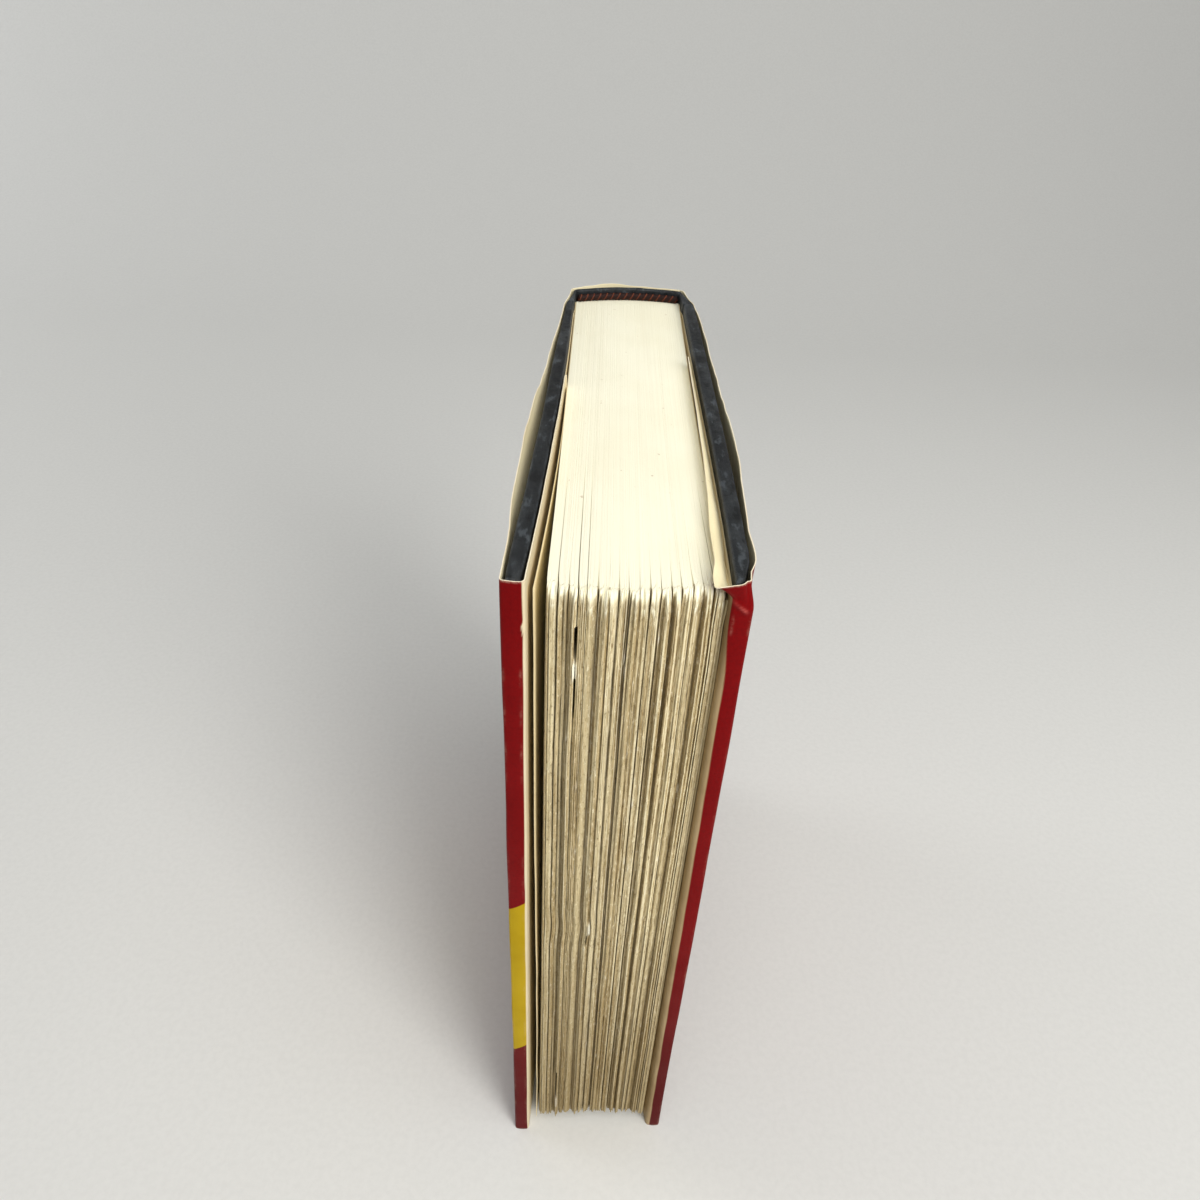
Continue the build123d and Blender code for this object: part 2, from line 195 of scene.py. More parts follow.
def sheet_object(name, mid, half, flip, materials, uv=None, attrs=None, seam=False):
    """A closed thin sheet from a grid of middle points [along, up, 3]; materials are outer side, inner side, cut edge.
    With seam, the edge at the start of the sheet keeps the outer material."""
    n, m, _ = mid.shape
    du = np.gradient(mid, axis=0)
    dz = np.gradient(mid, axis=1)
    nrm = np.cross(du, dz)
    nrm /= np.maximum(np.linalg.norm(nrm, axis=2, keepdims=True), 1e-9)
    if flip:
        nrm = -nrm
    h = np.broadcast_to(np.asarray(half, float), (n, m))[..., None]
    pts = np.concatenate([(mid + nrm * h).reshape(-1, 3), (mid - nrm * h).reshape(-1, 3)])
    k = n * m
    outer, inner = grid_faces(n, m, flip), grid_faces(n, m, not flip, k)
    idx = np.arange(k).reshape(n, m)
    ring = np.concatenate([idx[:, 0], idx[-1, 1:], idx[-2::-1, -1], idx[0, -2:0:-1]])
    nxt = np.roll(ring, -1)
    rim = np.stack([ring, nxt, nxt + k, ring + k], -1)
    rim = rim if flip else rim[:, ::-1]
    faces = np.concatenate([outer, inner, rim])
    mats = np.concatenate([np.zeros(len(outer)), np.ones(len(inner)), np.full(len(rim), 2)])
    if seam:
        mats[len(mats) - (m - 1):] = 0
    flags = mats < 2
    two = None if uv is None else np.concatenate([uv.reshape(-1, 2)] * 2)
    att = {a: np.concatenate([np.asarray(v).ravel()] * 2) for a, v in (attrs or {}).items()}
    return make_object(name, pts, faces, materials, mats, flags, two, att)


# ---------------------------------------------------------------- materials
def srgb(r, g, b):
    f = lambda c: c / 12.92 if c <= 0.04045 else ((c + 0.055) / 1.055) ** 2.4
    return (f(r / 255), f(g / 255), f(b / 255), 1.0)


class Tree:
    """A material and short ways to add its nodes."""

    def __init__(self, name, **fixed):
        self.mat = bpy.data.materials.new(name)
        self.mat.use_nodes = True
        self.t = self.mat.node_tree
        self.t.nodes.clear()
        out = self.t.nodes.new("ShaderNodeOutputMaterial")
        self.bsdf = self.t.nodes.new("ShaderNodeBsdfPrincipled")
        self.t.links.new(self.bsdf.outputs[0], out.inputs[0])
        for k, v in fixed.items():
            self.bsdf.inputs[k.replace("_", " ")].default_value = v
        self.place = self.add("ShaderNodeTexCoord").outputs["Object"]

    def add(self, kind, **props):
        n = self.t.nodes.new(kind)
        for k, v in props.items():
            setattr(n, k, v)
        return n

    def set(self, socket, value):
        if isinstance(value, bpy.types.NodeSocket):
            self.t.links.new(value, socket)
        else:
            socket.default_value = value

    def stretch(self, scale, vector=None, rotate=(0, 0, 0)):
        n = self.add("ShaderNodeMapping")
        self.set(n.inputs["Vector"], vector or self.place)
        n.inputs["Scale"].default_value = scale
        n.inputs["Rotation"].default_value = rotate
        return n.outputs[0]

    def noise(self, scale, detail=2.0, rough=0.55, vector=None, warp=0.0):
        n = self.add("ShaderNodeTexNoise")
        v = self.stretch(scale if hasattr(scale, "__len__") else (scale,) * 3, vector)
        self.set(n.inputs["Vector"], v)
        n.inputs["Scale"].default_value = 1.0
        n.inputs["Detail"].default_value = detail
        n.inputs["Roughness"].default_value = rough
        n.inputs["Distortion"].default_value = warp
        return n.outputs[0]

    def math(self, op, a, b=0.0, c=None, clamp=False):
        n = self.add("ShaderNodeMath", operation=op, use_clamp=clamp)
        self.set(n.inputs[0], a)
        self.set(n.inputs[1], b)
        if c is not None:
            self.set(n.inputs[2], c)
        return n.outputs[0]

    def ramp(self, value, lo, hi, to_lo=0.0, to_hi=1.0, kind="SMOOTHSTEP"):
        n = self.add("ShaderNodeMapRange", interpolation_type=kind)
        self.set(n.inputs["Value"], value)
        n.inputs["From Min"].default_value = lo
        n.inputs["From Max"].default_value = hi
        n.inputs["To Min"].default_value = to_lo
        n.inputs["To Max"].default_value = to_hi
        return n.outputs[0]

    def mix(self, fac, a, b, how="MIX"):
        n = self.add("ShaderNodeMix", data_type="RGBA", blend_type=how)
        self.set(n.inputs["Factor"], fac)
        self.set(n.inputs[6], a)
        self.set(n.inputs[7], b)
        return n.outputs[2]

    def attr(self, name):
        return self.add("ShaderNodeAttribute", attribute_name=name).outputs["Fac"]

    def xyz(self, vector):
        n = self.add("ShaderNodeSeparateXYZ")
        self.set(n.inputs[0], vector)
        return n.outputs

    def bump(self, height, strength=0.3, distance=0.0002):
        n = self.add("ShaderNodeBump")
        n.inputs["Strength"].default_value = strength
        n.inputs["Distance"].default_value = distance
        self.set(n.inputs["Height"], height)
        self.t.links.new(n.outputs[0], self.bsdf.inputs["Normal"])

    def colour(self, socket):
        self.t.links.new(socket, self.bsdf.inputs["Base Color"])

    def rough(self, socket):
        self.t.links.new(socket, self.bsdf.inputs["Roughness"])


def page_material():
    t = Tree("page_paper_leaves", Specular_IOR_Level=0.15)
    age, recess, chip = t.attr("age"), t.attr("recess"), t.attr("chip")
    blot = t.noise((30, 22, 22), 3)
    lines = t.noise((4200, 16, 16), 4, 0.75)
    broad = t.noise((900, 9, 9), 3, 0.6)
    fibre = t.noise(2600, 3, 0.6)
    speck = t.noise((2300, 900, 620), 4, 0.72)
    cream = t.mix(t.ramp(blot, 0.35, 0.7), srgb(253, 250, 228), srgb(248, 244, 219))
    tan = t.mix(t.ramp(t.noise((260, 40, 14), 4, 0.65), 0.3, 0.72), srgb(233, 220, 181), srgb(205, 188, 146))
    base = t.mix(age, cream, tan)
    # the cut edges of single leaves
    shade = t.ramp(lines, 0.38, 0.60)
    dark = t.mix(age, srgb(222, 211, 180), srgb(150, 127, 82))
    amount = t.math("MULTIPLY", t.math("SUBTRACT", 1.0, shade), t.ramp(age, 0.0, 1.0, 0.07, 0.50))
    base = t.mix(amount, base, dark)
    base = t.mix(t.math("MULTIPLY", t.ramp(broad, 0.46, 0.7), t.ramp(age, 0.0, 1.0, 0.09, 0.26)), base, t.mix(age, srgb(212, 201, 170), srgb(176, 153, 106)))
    # leaves of different colour: partly random paper colour, partly painted light and shade on leaves that stand out or
    # lie back
    leaf_tone_and_shade = t.attr("leaf_tone_and_shade")
    base = t.mix(t.math("MULTIPLY", t.ramp(leaf_tone_and_shade, 0.62, 1.0), t.ramp(age, 0.0, 1.0, 0.0, 0.60)), base, srgb(166, 142, 96))
    base = t.mix(t.math("MULTIPLY", t.ramp(leaf_tone_and_shade, 0.40, 0.05), t.ramp(age, 0.0, 1.0, 0.02, 0.65)), base, srgb(248, 238, 204))
    # rough torn fibres: light and dark flecks along the leaves
    base = t.mix(t.math("MULTIPLY", t.ramp(speck, 0.56, 0.68), t.ramp(age, 0.2, 1.0, 0.02, 0.72)), base, srgb(134, 108, 62))
    base = t.mix(t.math("MULTIPLY", t.ramp(speck, 0.44, 0.34), t.ramp(age, 0.2, 1.0, 0.04, 0.70)), base, srgb(250, 241, 212))
    # painted shade: darker in the grooves between the gatherings, in the gaps at the head and on leaves that lie back,
    # by the recess attribute
    groove = t.mix(age, srgb(176, 164, 130), t.mix(t.ramp(fibre, 0.3, 0.7), srgb(104, 80, 44), srgb(80, 58, 28)))
    base = t.mix(t.math("MULTIPLY", recess, 0.94), base, groove)
    # torn, clean paper
    base = t.mix(chip, base, srgb(250, 246, 230))
    # painted shade: the fore-edge darker towards the tail, where less light falls
    base = t.mix(t.math("MULTIPLY", t.ramp(t.xyz(t.place)[2], 0.015, 0.12, 0.55, 0.0), age), base, srgb(146, 123, 80))
    # small rust spots
    spots = t.ramp(t.noise(620, 2, 0.5), 0.735, 0.78)
    base = t.mix(t.math("MULTIPLY", spots, 0.4), base, srgb(168, 138, 86))
    t.colour(base)
    t.rough(t.ramp(fibre, 0.2, 0.8, 0.80, 0.98))
    t.bump(t.math("ADD", t.math("MULTIPLY", lines, 0.7), t.math("MULTIPLY", speck, 0.8)), 0.45, 0.00015)
    return t.mat


def sheet_paper(name, light, dark, edge_dark):
    t = Tree(name, Specular_IOR_Level=0.2)
    fibre = t.noise(1500, 4, 0.65)
    blot = t.noise((45, 30, 38), 3, 0.55)
    base = t.mix(t.ramp(blot, 0.3, 0.72), light, dark)
    base = t.mix(t.ramp(fibre, 0.52, 0.78, 0.0, 0.22), base, edge_dark)
    spots = t.ramp(t.noise(260, 2, 0.5), 0.70, 0.76)
    base = t.mix(t.math("MULTIPLY", spots, 0.45), base, edge_dark)
    t.colour(base)
    t.rough(t.ramp(fibre, 0.2, 0.8, 0.74, 0.95))
    t.bump(fibre, 0.18, 0.00010)
    return t.mat


def print_material(side, s_fold, s_cream):
    """Red print, a plain yellow field on the front, bare cream on the flap, rubbed at the edges."""
    t = Tree(f"jacket_print_{SIDE_NAME[side]}", Specular_IOR_Level=0.06)
    uv = t.add("ShaderNodeUVMap", uv_map="sheet").outputs[0]
    s, z, _ = t.xyz(uv)                                    # millimetres / 100
    fine = t.noise((260, 260, 260), 3, 0.6, uv)
    cloud = t.noise((7, 7, 7), 3, 0.55, uv)
    streak = t.noise((160, 3.0, 1), 3, 0.6, uv)
    red = t.mix(t.ramp(cloud, 0.25, 0.8), srgb(125, 4, 7), srgb(115, 4, 6))
    red = t.mix(t.ramp(streak, 0.55, 0.8, 0.0, 0.3), red, srgb(95, 5, 8))
    red = t.mix(t.ramp(t.noise((120, 120, 1), 3, 0.65, uv), 0.40, 0.72, 0.0, 0.45), red, srgb(98, 5, 8))
    # painted shade: the red darker towards the tail, where less light falls, and darker still on the back half, which
    # lies in more shade
    red = t.mix(t.ramp(z, 0.15, 1.15, 0.75, 0.0), red, srgb(86, 17, 17) if side < 0 else srgb(74, 13, 13))
    base = red
    if side < 0:
        # a yellow field with round ends, running over the fold
        lift = t.ramp(s, s_fold / 100, s_cream / 100, 0.0, 0.030, "LINEAR")
        zz = t.math("SUBTRACT", z, lift)
        dz = t.math("SUBTRACT", t.math("ABSOLUTE", t.math("SUBTRACT", zz, 0.8145)), 0.3285 - 0.16)
        ds = t.math("SUBTRACT", t.math("ABSOLUTE", t.math("SUBTRACT", s, s_fold / 100 - 0.20)), 0.62 - 0.16)
        dz, ds = t.math("MAXIMUM", dz, 0.0), t.math("MAXIMUM", ds, 0.0)
        dist = t.math("SQRT", t.math("ADD", t.math("MULTIPLY", dz, dz), t.math("MULTIPLY", ds, ds)))
        yellow = t.mix(t.ramp(cloud, 0.3, 0.72), srgb(190, 159, 20), srgb(178, 147, 14))
        base = t.mix(t.ramp(dist, 0.158, 0.162, 1.0, 0.0), base, yellow)
    bare = t.mix(t.ramp(cloud, 0.3, 0.7), srgb(232, 219, 187), srgb(226, 212, 177))
    if side > 0:
        # painted shade: the bare paper along the fold darker, and darker still near the head under the bent corner
        painted_shade_bare = t.mix(t.ramp(cloud, 0.3, 0.7), srgb(178, 154, 116), srgb(160, 136, 98))
        painted_shade_bare = t.mix(t.ramp(z, 1.78, 1.98, 0.0, 0.60), painted_shade_bare, srgb(108, 84, 53))
        bare = t.mix(t.ramp(s, s_cream / 100 + 0.04, s_cream / 100 + 0.13, 1.0, 0.0), bare, painted_shade_bare)
    base = t.mix(t.attr("bare"), base, bare)
    # rubbed print: head and tail edges, fold lines, a crease
    wear = t.math("MULTIPLY", t.attr("wear"), t.ramp(t.noise((95, 60, 1), 4, 0.7, uv), 0.36, 0.6))
    rubbed = t.mix(t.ramp(fine, 0.3, 0.7), srgb(214, 170, 148), srgb(232, 212, 186))
    base = t.mix(wear, base, rubbed)
    base = t.mix(t.math("MULTIPLY", t.attr("crease"), t.ramp(t.noise((420, 420, 1), 3, 0.6, uv), 0.2, 0.5)), base, srgb(188, 84, 78))
    scuff = t.math("MULTIPLY", t.ramp(t.noise((30, 11, 1), 5, 0.72, uv), 0.66, 0.78), 0.16)
    base = t.mix(scuff, base, srgb(170, 60, 56))
    t.colour(base)
    t.rough(t.ramp(t.math("ADD", t.math("MULTIPLY", cloud, 0.6), t.math("MULTIPLY", fine, 0.4)), 0.3, 0.7, 0.42, 0.58))
    t.bump(t.math("ADD", t.math("MULTIPLY", fine, 0.4), t.math("MULTIPLY", t.noise((18, 18, 18), 2, 0.5, uv), 1.2)), 0.12, 0.0003)
    return t.mat


def cloth_material():
    t = Tree("case_cloth_weave", Specular_IOR_Level=0.22)
    x, y, z = t.xyz(t.place)
    k = 2 * math.pi / 0.00046
    wob = t.math("MULTIPLY", t.noise(900, 2, 0.5), 1.6)
    wy = t.math("SINE", t.math("ADD", t.math("MULTIPLY", y, k), wob))
    wz = t.math("SINE", t.math("ADD", t.math("MULTIPLY", z, k), wob))
    wx = t.math("SINE", t.math("ADD", t.math("MULTIPLY", x, k), wob))
    weave = t.math("MAXIMUM", t.math("MULTIPLY", wy, wz), t.math("MULTIPLY", t.math("MULTIPLY", wx, wy), 0.8))
    grain = t.noise(700, 5, 0.7)
    cloud = t.noise((60, 25, 40), 4, 0.6)
    base = t.mix(t.ramp(cloud, 0.3, 0.72), srgb(14, 15, 17), srgb(33, 36, 38))
    base = t.mix(t.ramp(weave, -0.2, 0.9, 0.0, 0.32), base, srgb(52, 55, 58))
    base = t.mix(t.ramp(grain, 0.42, 0.68, 0.0, 0.45), base, srgb(18, 19, 21))
    # lighter mottle: partly uneven cloth colour, partly painted sheen
    base = t.mix(t.ramp(t.noise((110, 45, 110), 4, 0.65), 0.46, 0.70, 0.0, 0.75), base, srgb(56, 59, 61))
    patch = t.noise((420, 190, 420), 3, 0.6)
    base = t.mix(t.ramp(patch, 0.49, 0.37, 0.0, 0.85), base, srgb(9, 10, 11))
    # pale patches: partly uneven cloth colour, partly painted sheen
    base = t.mix(t.ramp(patch, 0.56, 0.68, 0.0, 0.60), base, srgb(80, 86, 91))
    scuff = t.math("MULTIPLY", t.ramp(t.noise((420, 130, 420), 4, 0.72), 0.66, 0.73), t.ramp(cloud, 0.35, 0.65, 0.15, 0.7))
    base = t.mix(scuff, base, srgb(122, 126, 130))
    edge = t.math("MULTIPLY", t.attr("worn"), t.ramp(grain, 0.36, 0.62))
    base = t.mix(edge, base, srgb(92, 98, 105))
    t.colour(base)
    t.rough(t.ramp(grain, 0.3, 0.7, 0.48, 0.66))
    t.bump(t.math("ADD", t.math("MULTIPLY", weave, 0.55), t.math("MULTIPLY", grain, 0.9)), 0.35, 0.00012)
    return t.mat


def thread_material():
    t = Tree("band_thread_stitch", Specular_IOR_Level=0.25)
    twist = t.attr("strand")
    fuzz = t.noise(3000, 3, 0.6)
    base = t.mix(t.ramp(twist, 0.45, 0.85), srgb(32, 9, 4), srgb(70, 21, 9))
    base = t.mix(t.ramp(fuzz, 0.45, 0.75, 0.0, 0.5), base, srgb(36, 9, 6))
    glint = t.math("MULTIPLY", t.ramp(twist, 0.84, 0.99), t.ramp(fuzz, 0.3, 0.6))
    base = t.mix(t.math("MULTIPLY", glint, 0.6), base, srgb(150, 88, 50))
    t.colour(base)
    t.rough(t.ramp(fuzz, 0.3, 0.7, 0.55, 0.8))
    t.bump(fuzz, 0.3, 0.0001)
    return t.mat


def gauze_material():
    t = Tree("gauze_open_weave", Roughness=0.9, Specular_IOR_Level=0.2)
    x, _, z = t.xyz(t.place)
    k = 2 * math.pi / 0.0016
    net = t.math("MAXIMUM", t.math("SINE", t.math("MULTIPLY", x, k)), t.math("SINE", t.math("MULTIPLY", z, k)))
    base = t.mix(t.ramp(net, 0.35, 0.85), srgb(172, 150, 112), srgb(228, 222, 205))
    base = t.mix(t.ramp(t.noise(900, 3, 0.6), 0.5, 0.75, 0.0, 0.4), base, srgb(190, 172, 136))
    t.colour(base)
    t.bump(net, 0.5, 0.0002)
    return t.mat


def board_material():
    t = Tree("grey_board_pulp", Specular_IOR_Level=0.2)
    pulp = t.noise((900, 500, 500), 5, 0.7)
    layers = t.noise((4200, 30, 30), 3, 0.6)
    base = t.mix(t.ramp(pulp, 0.3, 0.7), srgb(150, 146, 138), srgb(122, 117, 108))
    base = t.mix(t.ramp(layers, 0.5, 0.72, 0.0, 0.35), base, srgb(98, 92, 84))
    t.colour(base)
    t.rough(t.ramp(pulp, 0.3, 0.7, 0.85, 0.97))
    t.bump(pulp, 0.3, 0.0002)
    return t.mat


PAGE = page_material()
END = sheet_paper("endpaper_cream", srgb(231, 214, 171), srgb(224, 206, 161), srgb(186, 160, 112))
PASTE = sheet_paper("endpaper_pasted", srgb(231, 216, 178), srgb(226, 210, 169), srgb(190, 164, 118))
RAW = sheet_paper("jacket_inside", srgb(250, 239, 200), srgb(242, 228, 185), srgb(206, 187, 140))
CUT = sheet_paper("jacket_cut_edge", srgb(244, 234, 208), srgb(236, 220, 190), srgb(204, 176, 140))
CLOTH = cloth_material()
THREAD = thread_material()
GAUZE = gauze_material()
LINER = sheet_paper("liner_kraft", srgb(178, 140, 98), srgb(158, 120, 80), srgb(120, 86, 54))
BOARD = board_material()


# ---------------------------------------------------------------- leaves
def fore_line(x):
    return -141.0 - 2.4 * (1 - (x / HALF) ** 2) + SLIP * x


def back_line(x):
    return 2.4 * (1 - (x / HALF) ** 2) + SLIP * x


def build_leaves():
    """Seventeen gatherings with roughly cut fore-edges: the inner leaves of each stand out, the
    outer ones lie back, so that a dark groove is left between two gatherings."""
    rng = np.random.default_rng(23)
    sigs = 17
    w = 1 + rng.uniform(-0.16, 0.16, sigs)
    w *= 2 * HALF / w.sum()
    edge = -HALF + np.concatenate([[0], np.cumsum(w)])
    x, groove, sig, slab, rel = [], [], [], [], []
    count = 0
    for i in range(sigs):
        n = int(rng.integers(8, 11))
        cuts = np.cumsum(rng.uniform(0.7, 1.3, n))
        cuts = edge[i] + w[i] * np.concatenate([[0], cuts / cuts[-1]])
        x.append(edge[i] + 0.022); groove.append(1.0); sig.append(i); slab.append(count); rel.append(-1.0)
        for j in range(n):
            a, b = cuts[j], cuts[j + 1]
            for f in (0.16, 0.84):
                x.append(a + (b - a) * f); groove.append(0.0); sig.append(i); slab.append(count); rel.append((j + 0.5) / n * 2 - 1)
            count += 1
        x.append(edge[i + 1] - 0.022); groove.append(1.0); sig.append(i); slab.append(count - 1); rel.append(1.0)
    x, groove, rel = map(np.array, (x, groove, rel))
    sig, slab = np.array(sig), np.array(slab)
    groove[0] = groove[-1] = 0.0
    amp = rng.uniform(0.75, 1.3, sigs)
    skew = rng.uniform(-0.35, 0.35, sigs)
    step = rng.normal(0, 0.29, count)
    drop = rng.uniform(0.75, 1.5, sigs)
    head_off = np.clip(rng.normal(0, 0.010, count), -0.03, 0.02)
    tail_off = np.abs(rng.normal(0, 0.10, count)) + np.repeat(np.abs(rng.normal(0, 0.45, sigs)), 1)[sig[np.searchsorted(slab, np.arange(count))]]
    curl = rng.normal(0, 0.26, sigs)
    curl[0], curl[1], curl[2] = 0.55, 0.30, 0.42
    n1, n2, n3, n4 = Noise(5), Noise(6), Noise(7), Noise(8)
    roof = 1 - np.abs(rel - skew[sig]) ** 1.25
    roof = np.clip(roof, 0, 1)
    roof = np.where((sig == sigs - 1) & (rel > skew[sig]) & (groove == 0), np.maximum(roof, 0.85), roof)
    step[-5:] = np.maximum(step[-5:], 0.05)
    corner = np.where(groove > 0, 0.35, 0.45 + 2.5 * roof * rng.uniform(0.4, 1.05, sigs)[sig] + 0.8 * rng.uniform(0, 1, count)[slab])
    centre = 0.5 * (edge[:-1] + edge[1:])[sig]
    low_corner = 0.3 + 0.4 * rng.uniform(0, 1, count)[slab]
    tail_lift = 1.2 * (1 - (x / HALF) ** 2)
    stain = np.random.default_rng(77).uniform(-0.7, 1.1, count)[slab]

    # rows: head from the spine out, round the corner, down the fore-edge, round, back under the tail
    t_head = np.concatenate([np.linspace(0, 0.55, 5), np.linspace(0.62, 0.94, 9), [0.96, 0.975, 0.987, 0.995]])
    phi = np.radians([0, 18, 36, 54, 72, 90])
    z_fore = np.concatenate([HEAD - np.array([3.4, 4.2, 5.2, 6.4, 7.8, 9.2]), np.arange(HEAD - 10.4, TAIL + 3.2, -1.1)])
    t_tail = t_head[::-1]
    rows = [("head", t) for t in t_head] + [("top", p) for p in phi] + [("fore", z) for z in z_fore] + [("low", p) for p in phi[::-1]] + [("tail", t) for t in t_tail]
    nr, nc = len(rows), len(x)

    # slits and chips seen on the fore-edge: x, low z, high z, half width, depth change, clean paper
    marks = [
        (-9.75, 191.4, 198.2, 0.16, -5.0, 0.0), (-9.75, 186.4, 190.6, 0.36, 0.55, 1.0), (-9.62, 176.5, 185.4, 0.15, -5.0, 0.0),
        (-0.75, 190.4, 193.0, 0.22, 0.40, 0.8), (-0.45, 187.0, 189.6, 0.18, 0.30, 0.7), (4.9, 195.4, 197.4, 0.18, 0.35, 0.8),
        (5.6, 190.8, 192.4, 0.15, 0.3, 0.6), (-4.35, 103.2, 107.8, 0.34, 0.55, 1.0), (-4.75, 99.5, 103.0, 0.16, -2.2, 0.0),
        (3.0, 150.6, 152.4, 0.20, 0.35, 0.7), (3.4, 128.5, 130.5, 0.16, 0.3, 0.6), (-10.4, 17.0, 31.0, 0.17, -4.0, 0.0),
        (-10.3, 11.0, 17.0, 0.30, 0.45, 0.9), (8.0, 62.0, 63.6, 0.18, 0.3, 0.6),
        (-2.2, 58.0, 59.6, 0.16, 0.3, 0.7), (0.8, 33.0, 35.0, 0.2, 0.3, 0.6), (-7.4, 139.0, 141.0, 0.16, 0.3, 0.6),
    ]
    for _ in range(80):                                      # small torn flecks
        z0 = rng.uniform(8, 200)
        marks.append((rng.uniform(-14.5, 14.5), z0, z0 + rng.uniform(0.5, 1.5), rng.uniform(0.08, 0.2), 0.28, rng.uniform(0.4, 0.9)))
    gaps = [edge[np.argmin(np.abs(edge - g))] for g in (-12.4, -10.4, -8.5)] + [edge[np.argmin(np.abs(edge - 12.6))]]
    gap_w = [0.10, 0.13, 0.09, 0.05]

    def gap_at(d, z):
        return np.clip(1 - d / 56.0, 0, 1) * np.exp(-(HEAD - z) / 42.0)

    P = np.zeros((nc, nr, 3))
    AGE, RECESS_SHADE, CHIP, LEAF_TONE_AND_SHADE = (np.zeros((nc, nr)) for _ in range(4))
    # per-leaf value, random, partly painted light and shade; the last gathering is set to be painted lighter
    shade = rng.uniform(0, 1, count)
    shade[-6:] = (0.5, 0.42, 0.25, 0.45, 0.2, 0.35)
    near_gap = np.zeros(nc)
    for g, gw in zip(gaps, gap_w):
        near_gap = np.maximum(near_gap, (np.abs(x - g) < 0.03) * gw / 0.13)
    f0 = fore_line(x)
    b0 = back_line(x)

    def pull(z):
        """The middle of the fore-edge lies further back towards the tail, and the last leaves further forward."""
        return (1 - smooth(z, 0, 130)) * (2.0 * (1 - (x / HALF) ** 2) - 1.0 * np.clip(x / HALF, 0, 1) ** 2)

    def protrude(z):
        p = amp[sig] * roof * (1 + 0.16 * n3(sig * 7.3, z / 30.0)) + step[slab]
        p = p + 0.15 * n1(slab * 3.7, z / 11.0) + 0.11 * n2(slab * 5.1, z / 2.6) + 0.085 * n4(slab * 9.7, z / 1.3)
        low = -drop[sig] + 0.25 * n3(sig * 3.1, z / 14.0) - 0.9 * near_gap * np.exp(-(HEAD - z) / 42.0)
        p = np.where(groove > 0, low, p)
        chip = np.zeros(nc)
        for mx, z0, z1, hw, dp, clean in marks:
            k = smooth(z, z0 - 0.8, z0 + 0.8) * (1 - smooth(z, z1 - 0.8, z1 + 0.8)) * (np.abs(x - mx) < hw)
            p = p + k * dp
            chip = np.maximum(chip, k * clean)
        return p, chip

    for r, (kind, val) in enumerate(rows):
        if kind == "fore":
            z = np.full(nc, val)
            p, chip = protrude(z)
            y = f0 + 0.85 - p + pull(z)
            d = np.zeros(nc)
            age = smooth(HEAD - z - corner - stain, -0.2, 1.7)
            # painted shade: full in the grooves, more on leaves that lie further back
            recess_shade = np.where(groove > 0, 1.0, np.clip((0.50 - p) / 1.1, 0, 0.50))
        elif kind in ("top", "low"):
            R = corner if kind == "top" else low_corner
            zend = HEAD + head_off[slab] if kind == "top" else TAIL + np.minimum(tail_off[slab], 1.3) + tail_lift
            zz = R * (1 - math.cos(val))
            z = zend - zz if kind == "top" else zend + zz
            p, chip = protrude(z)
            inset = R * (1 - math.sin(val))
            y = f0 + 0.85 - p + pull(z) + inset * (1.0 if kind == "low" else 0.85)
            d = np.zeros(nc)
            if kind == "top":
                age = np.where(groove > 0, 0.7, smooth(math.degrees(val), 50, 100) * 0.75)
                recess_shade = np.where(groove > 0, 0.60, 0.0)
            else:
                age = np.full(nc, 0.9)
                recess_shade = np.where(groove > 0, 1.0, 0.15)
        else:
            top = kind == "head"
            zend = HEAD + head_off[slab] if top else TAIL + np.minimum(tail_off[slab], 1.3) + tail_lift
            p, chip = protrude(zend)
            y_edge = f0 + 0.85 - p + pull(zend) + (corner * 0.85 if top else low_corner)
            y = b0 + (y_edge - b0) * val
            d = y - y_edge
            fade = np.exp(-d / 5.0)
            sink = np.where(groove > 0, 0.01 + 0.24 * fade + 0.5 * np.exp(-d / 1.6) + 1.0 * near_gap * np.clip(1 - d / 40.0, 0, 1), 0.0)
            worn = 0.28 * np.exp(-d / 1.6)
            z = zend - (sink + worn) if top else zend + 0.5 * np.minimum(sink, 0.6) * 0.6
            age = np.full(nc, 0.0 if top else 0.55)
            # painted shade in the grooves and gaps near the head edge
            recess_shade = np.where(groove > 0, np.clip(0.02 + 0.30 * fade + 0.42 * near_gap * np.clip(1 - d / 40.0, 0, 1), 0, 1), 0.0)
            chip = np.zeros(nc)
        # fanning, pinched and curled corners and one dent
        tip = np.exp(-(HEAD - z) / 1.7) * np.exp(-d / 1.6)
        xx = np.where(groove > 0, x, centre + (x - centre) * (1 - 0.19 * tip))
        for g, gw in zip(gaps, gap_w):
            G = gw * gap_at(d, z)
            xx = xx + 0.5 * G * np.sign(x - g) * np.exp(-np.abs(x - g) / 1.5)
        open_edge = np.exp(-d / 9.0)
        wide = np.exp(-d / FAN_LEN)
        inner = np.clip((HALF - np.abs(x)) / 1.5, 0, 1)
        xx = xx + curl[sig] * np.exp(-(HEAD - z) / 3.2) * np.exp(-d / 2.6) * (0.4 + 0.6 * roof) * inner
        xx = xx + 0.34 * bell(z, 105.0, 5.0) * smooth(-x, 1.0, 4.0) * open_edge * inner
        xx = xx + 0.12 * n4(z / 23.0, x / 5.0) * open_edge * inner
        xx = xx - fan(-1, z) * np.clip(-x / HALF, 0, 1) ** 1.3 * wide + fan(1, z) * np.clip(x / HALF, 0, 1) ** 1.3 * wide
        xx = np.clip(xx, -HALF - fan(-1, z) * wide, HALF + fan(1, z) * wide)
        P[:, r, 0], P[:, r, 1], P[:, r, 2] = xx, y, z
        AGE[:, r], RECESS_SHADE[:, r], CHIP[:, r] = age, recess_shade, chip
        LEAF_TONE_AND_SHADE[:, r] = np.clip(shade[slab] + 0.25 * n2(slab * 2.3, z / 17.0), 0, 1)
    pts = P.reshape(-1, 3)
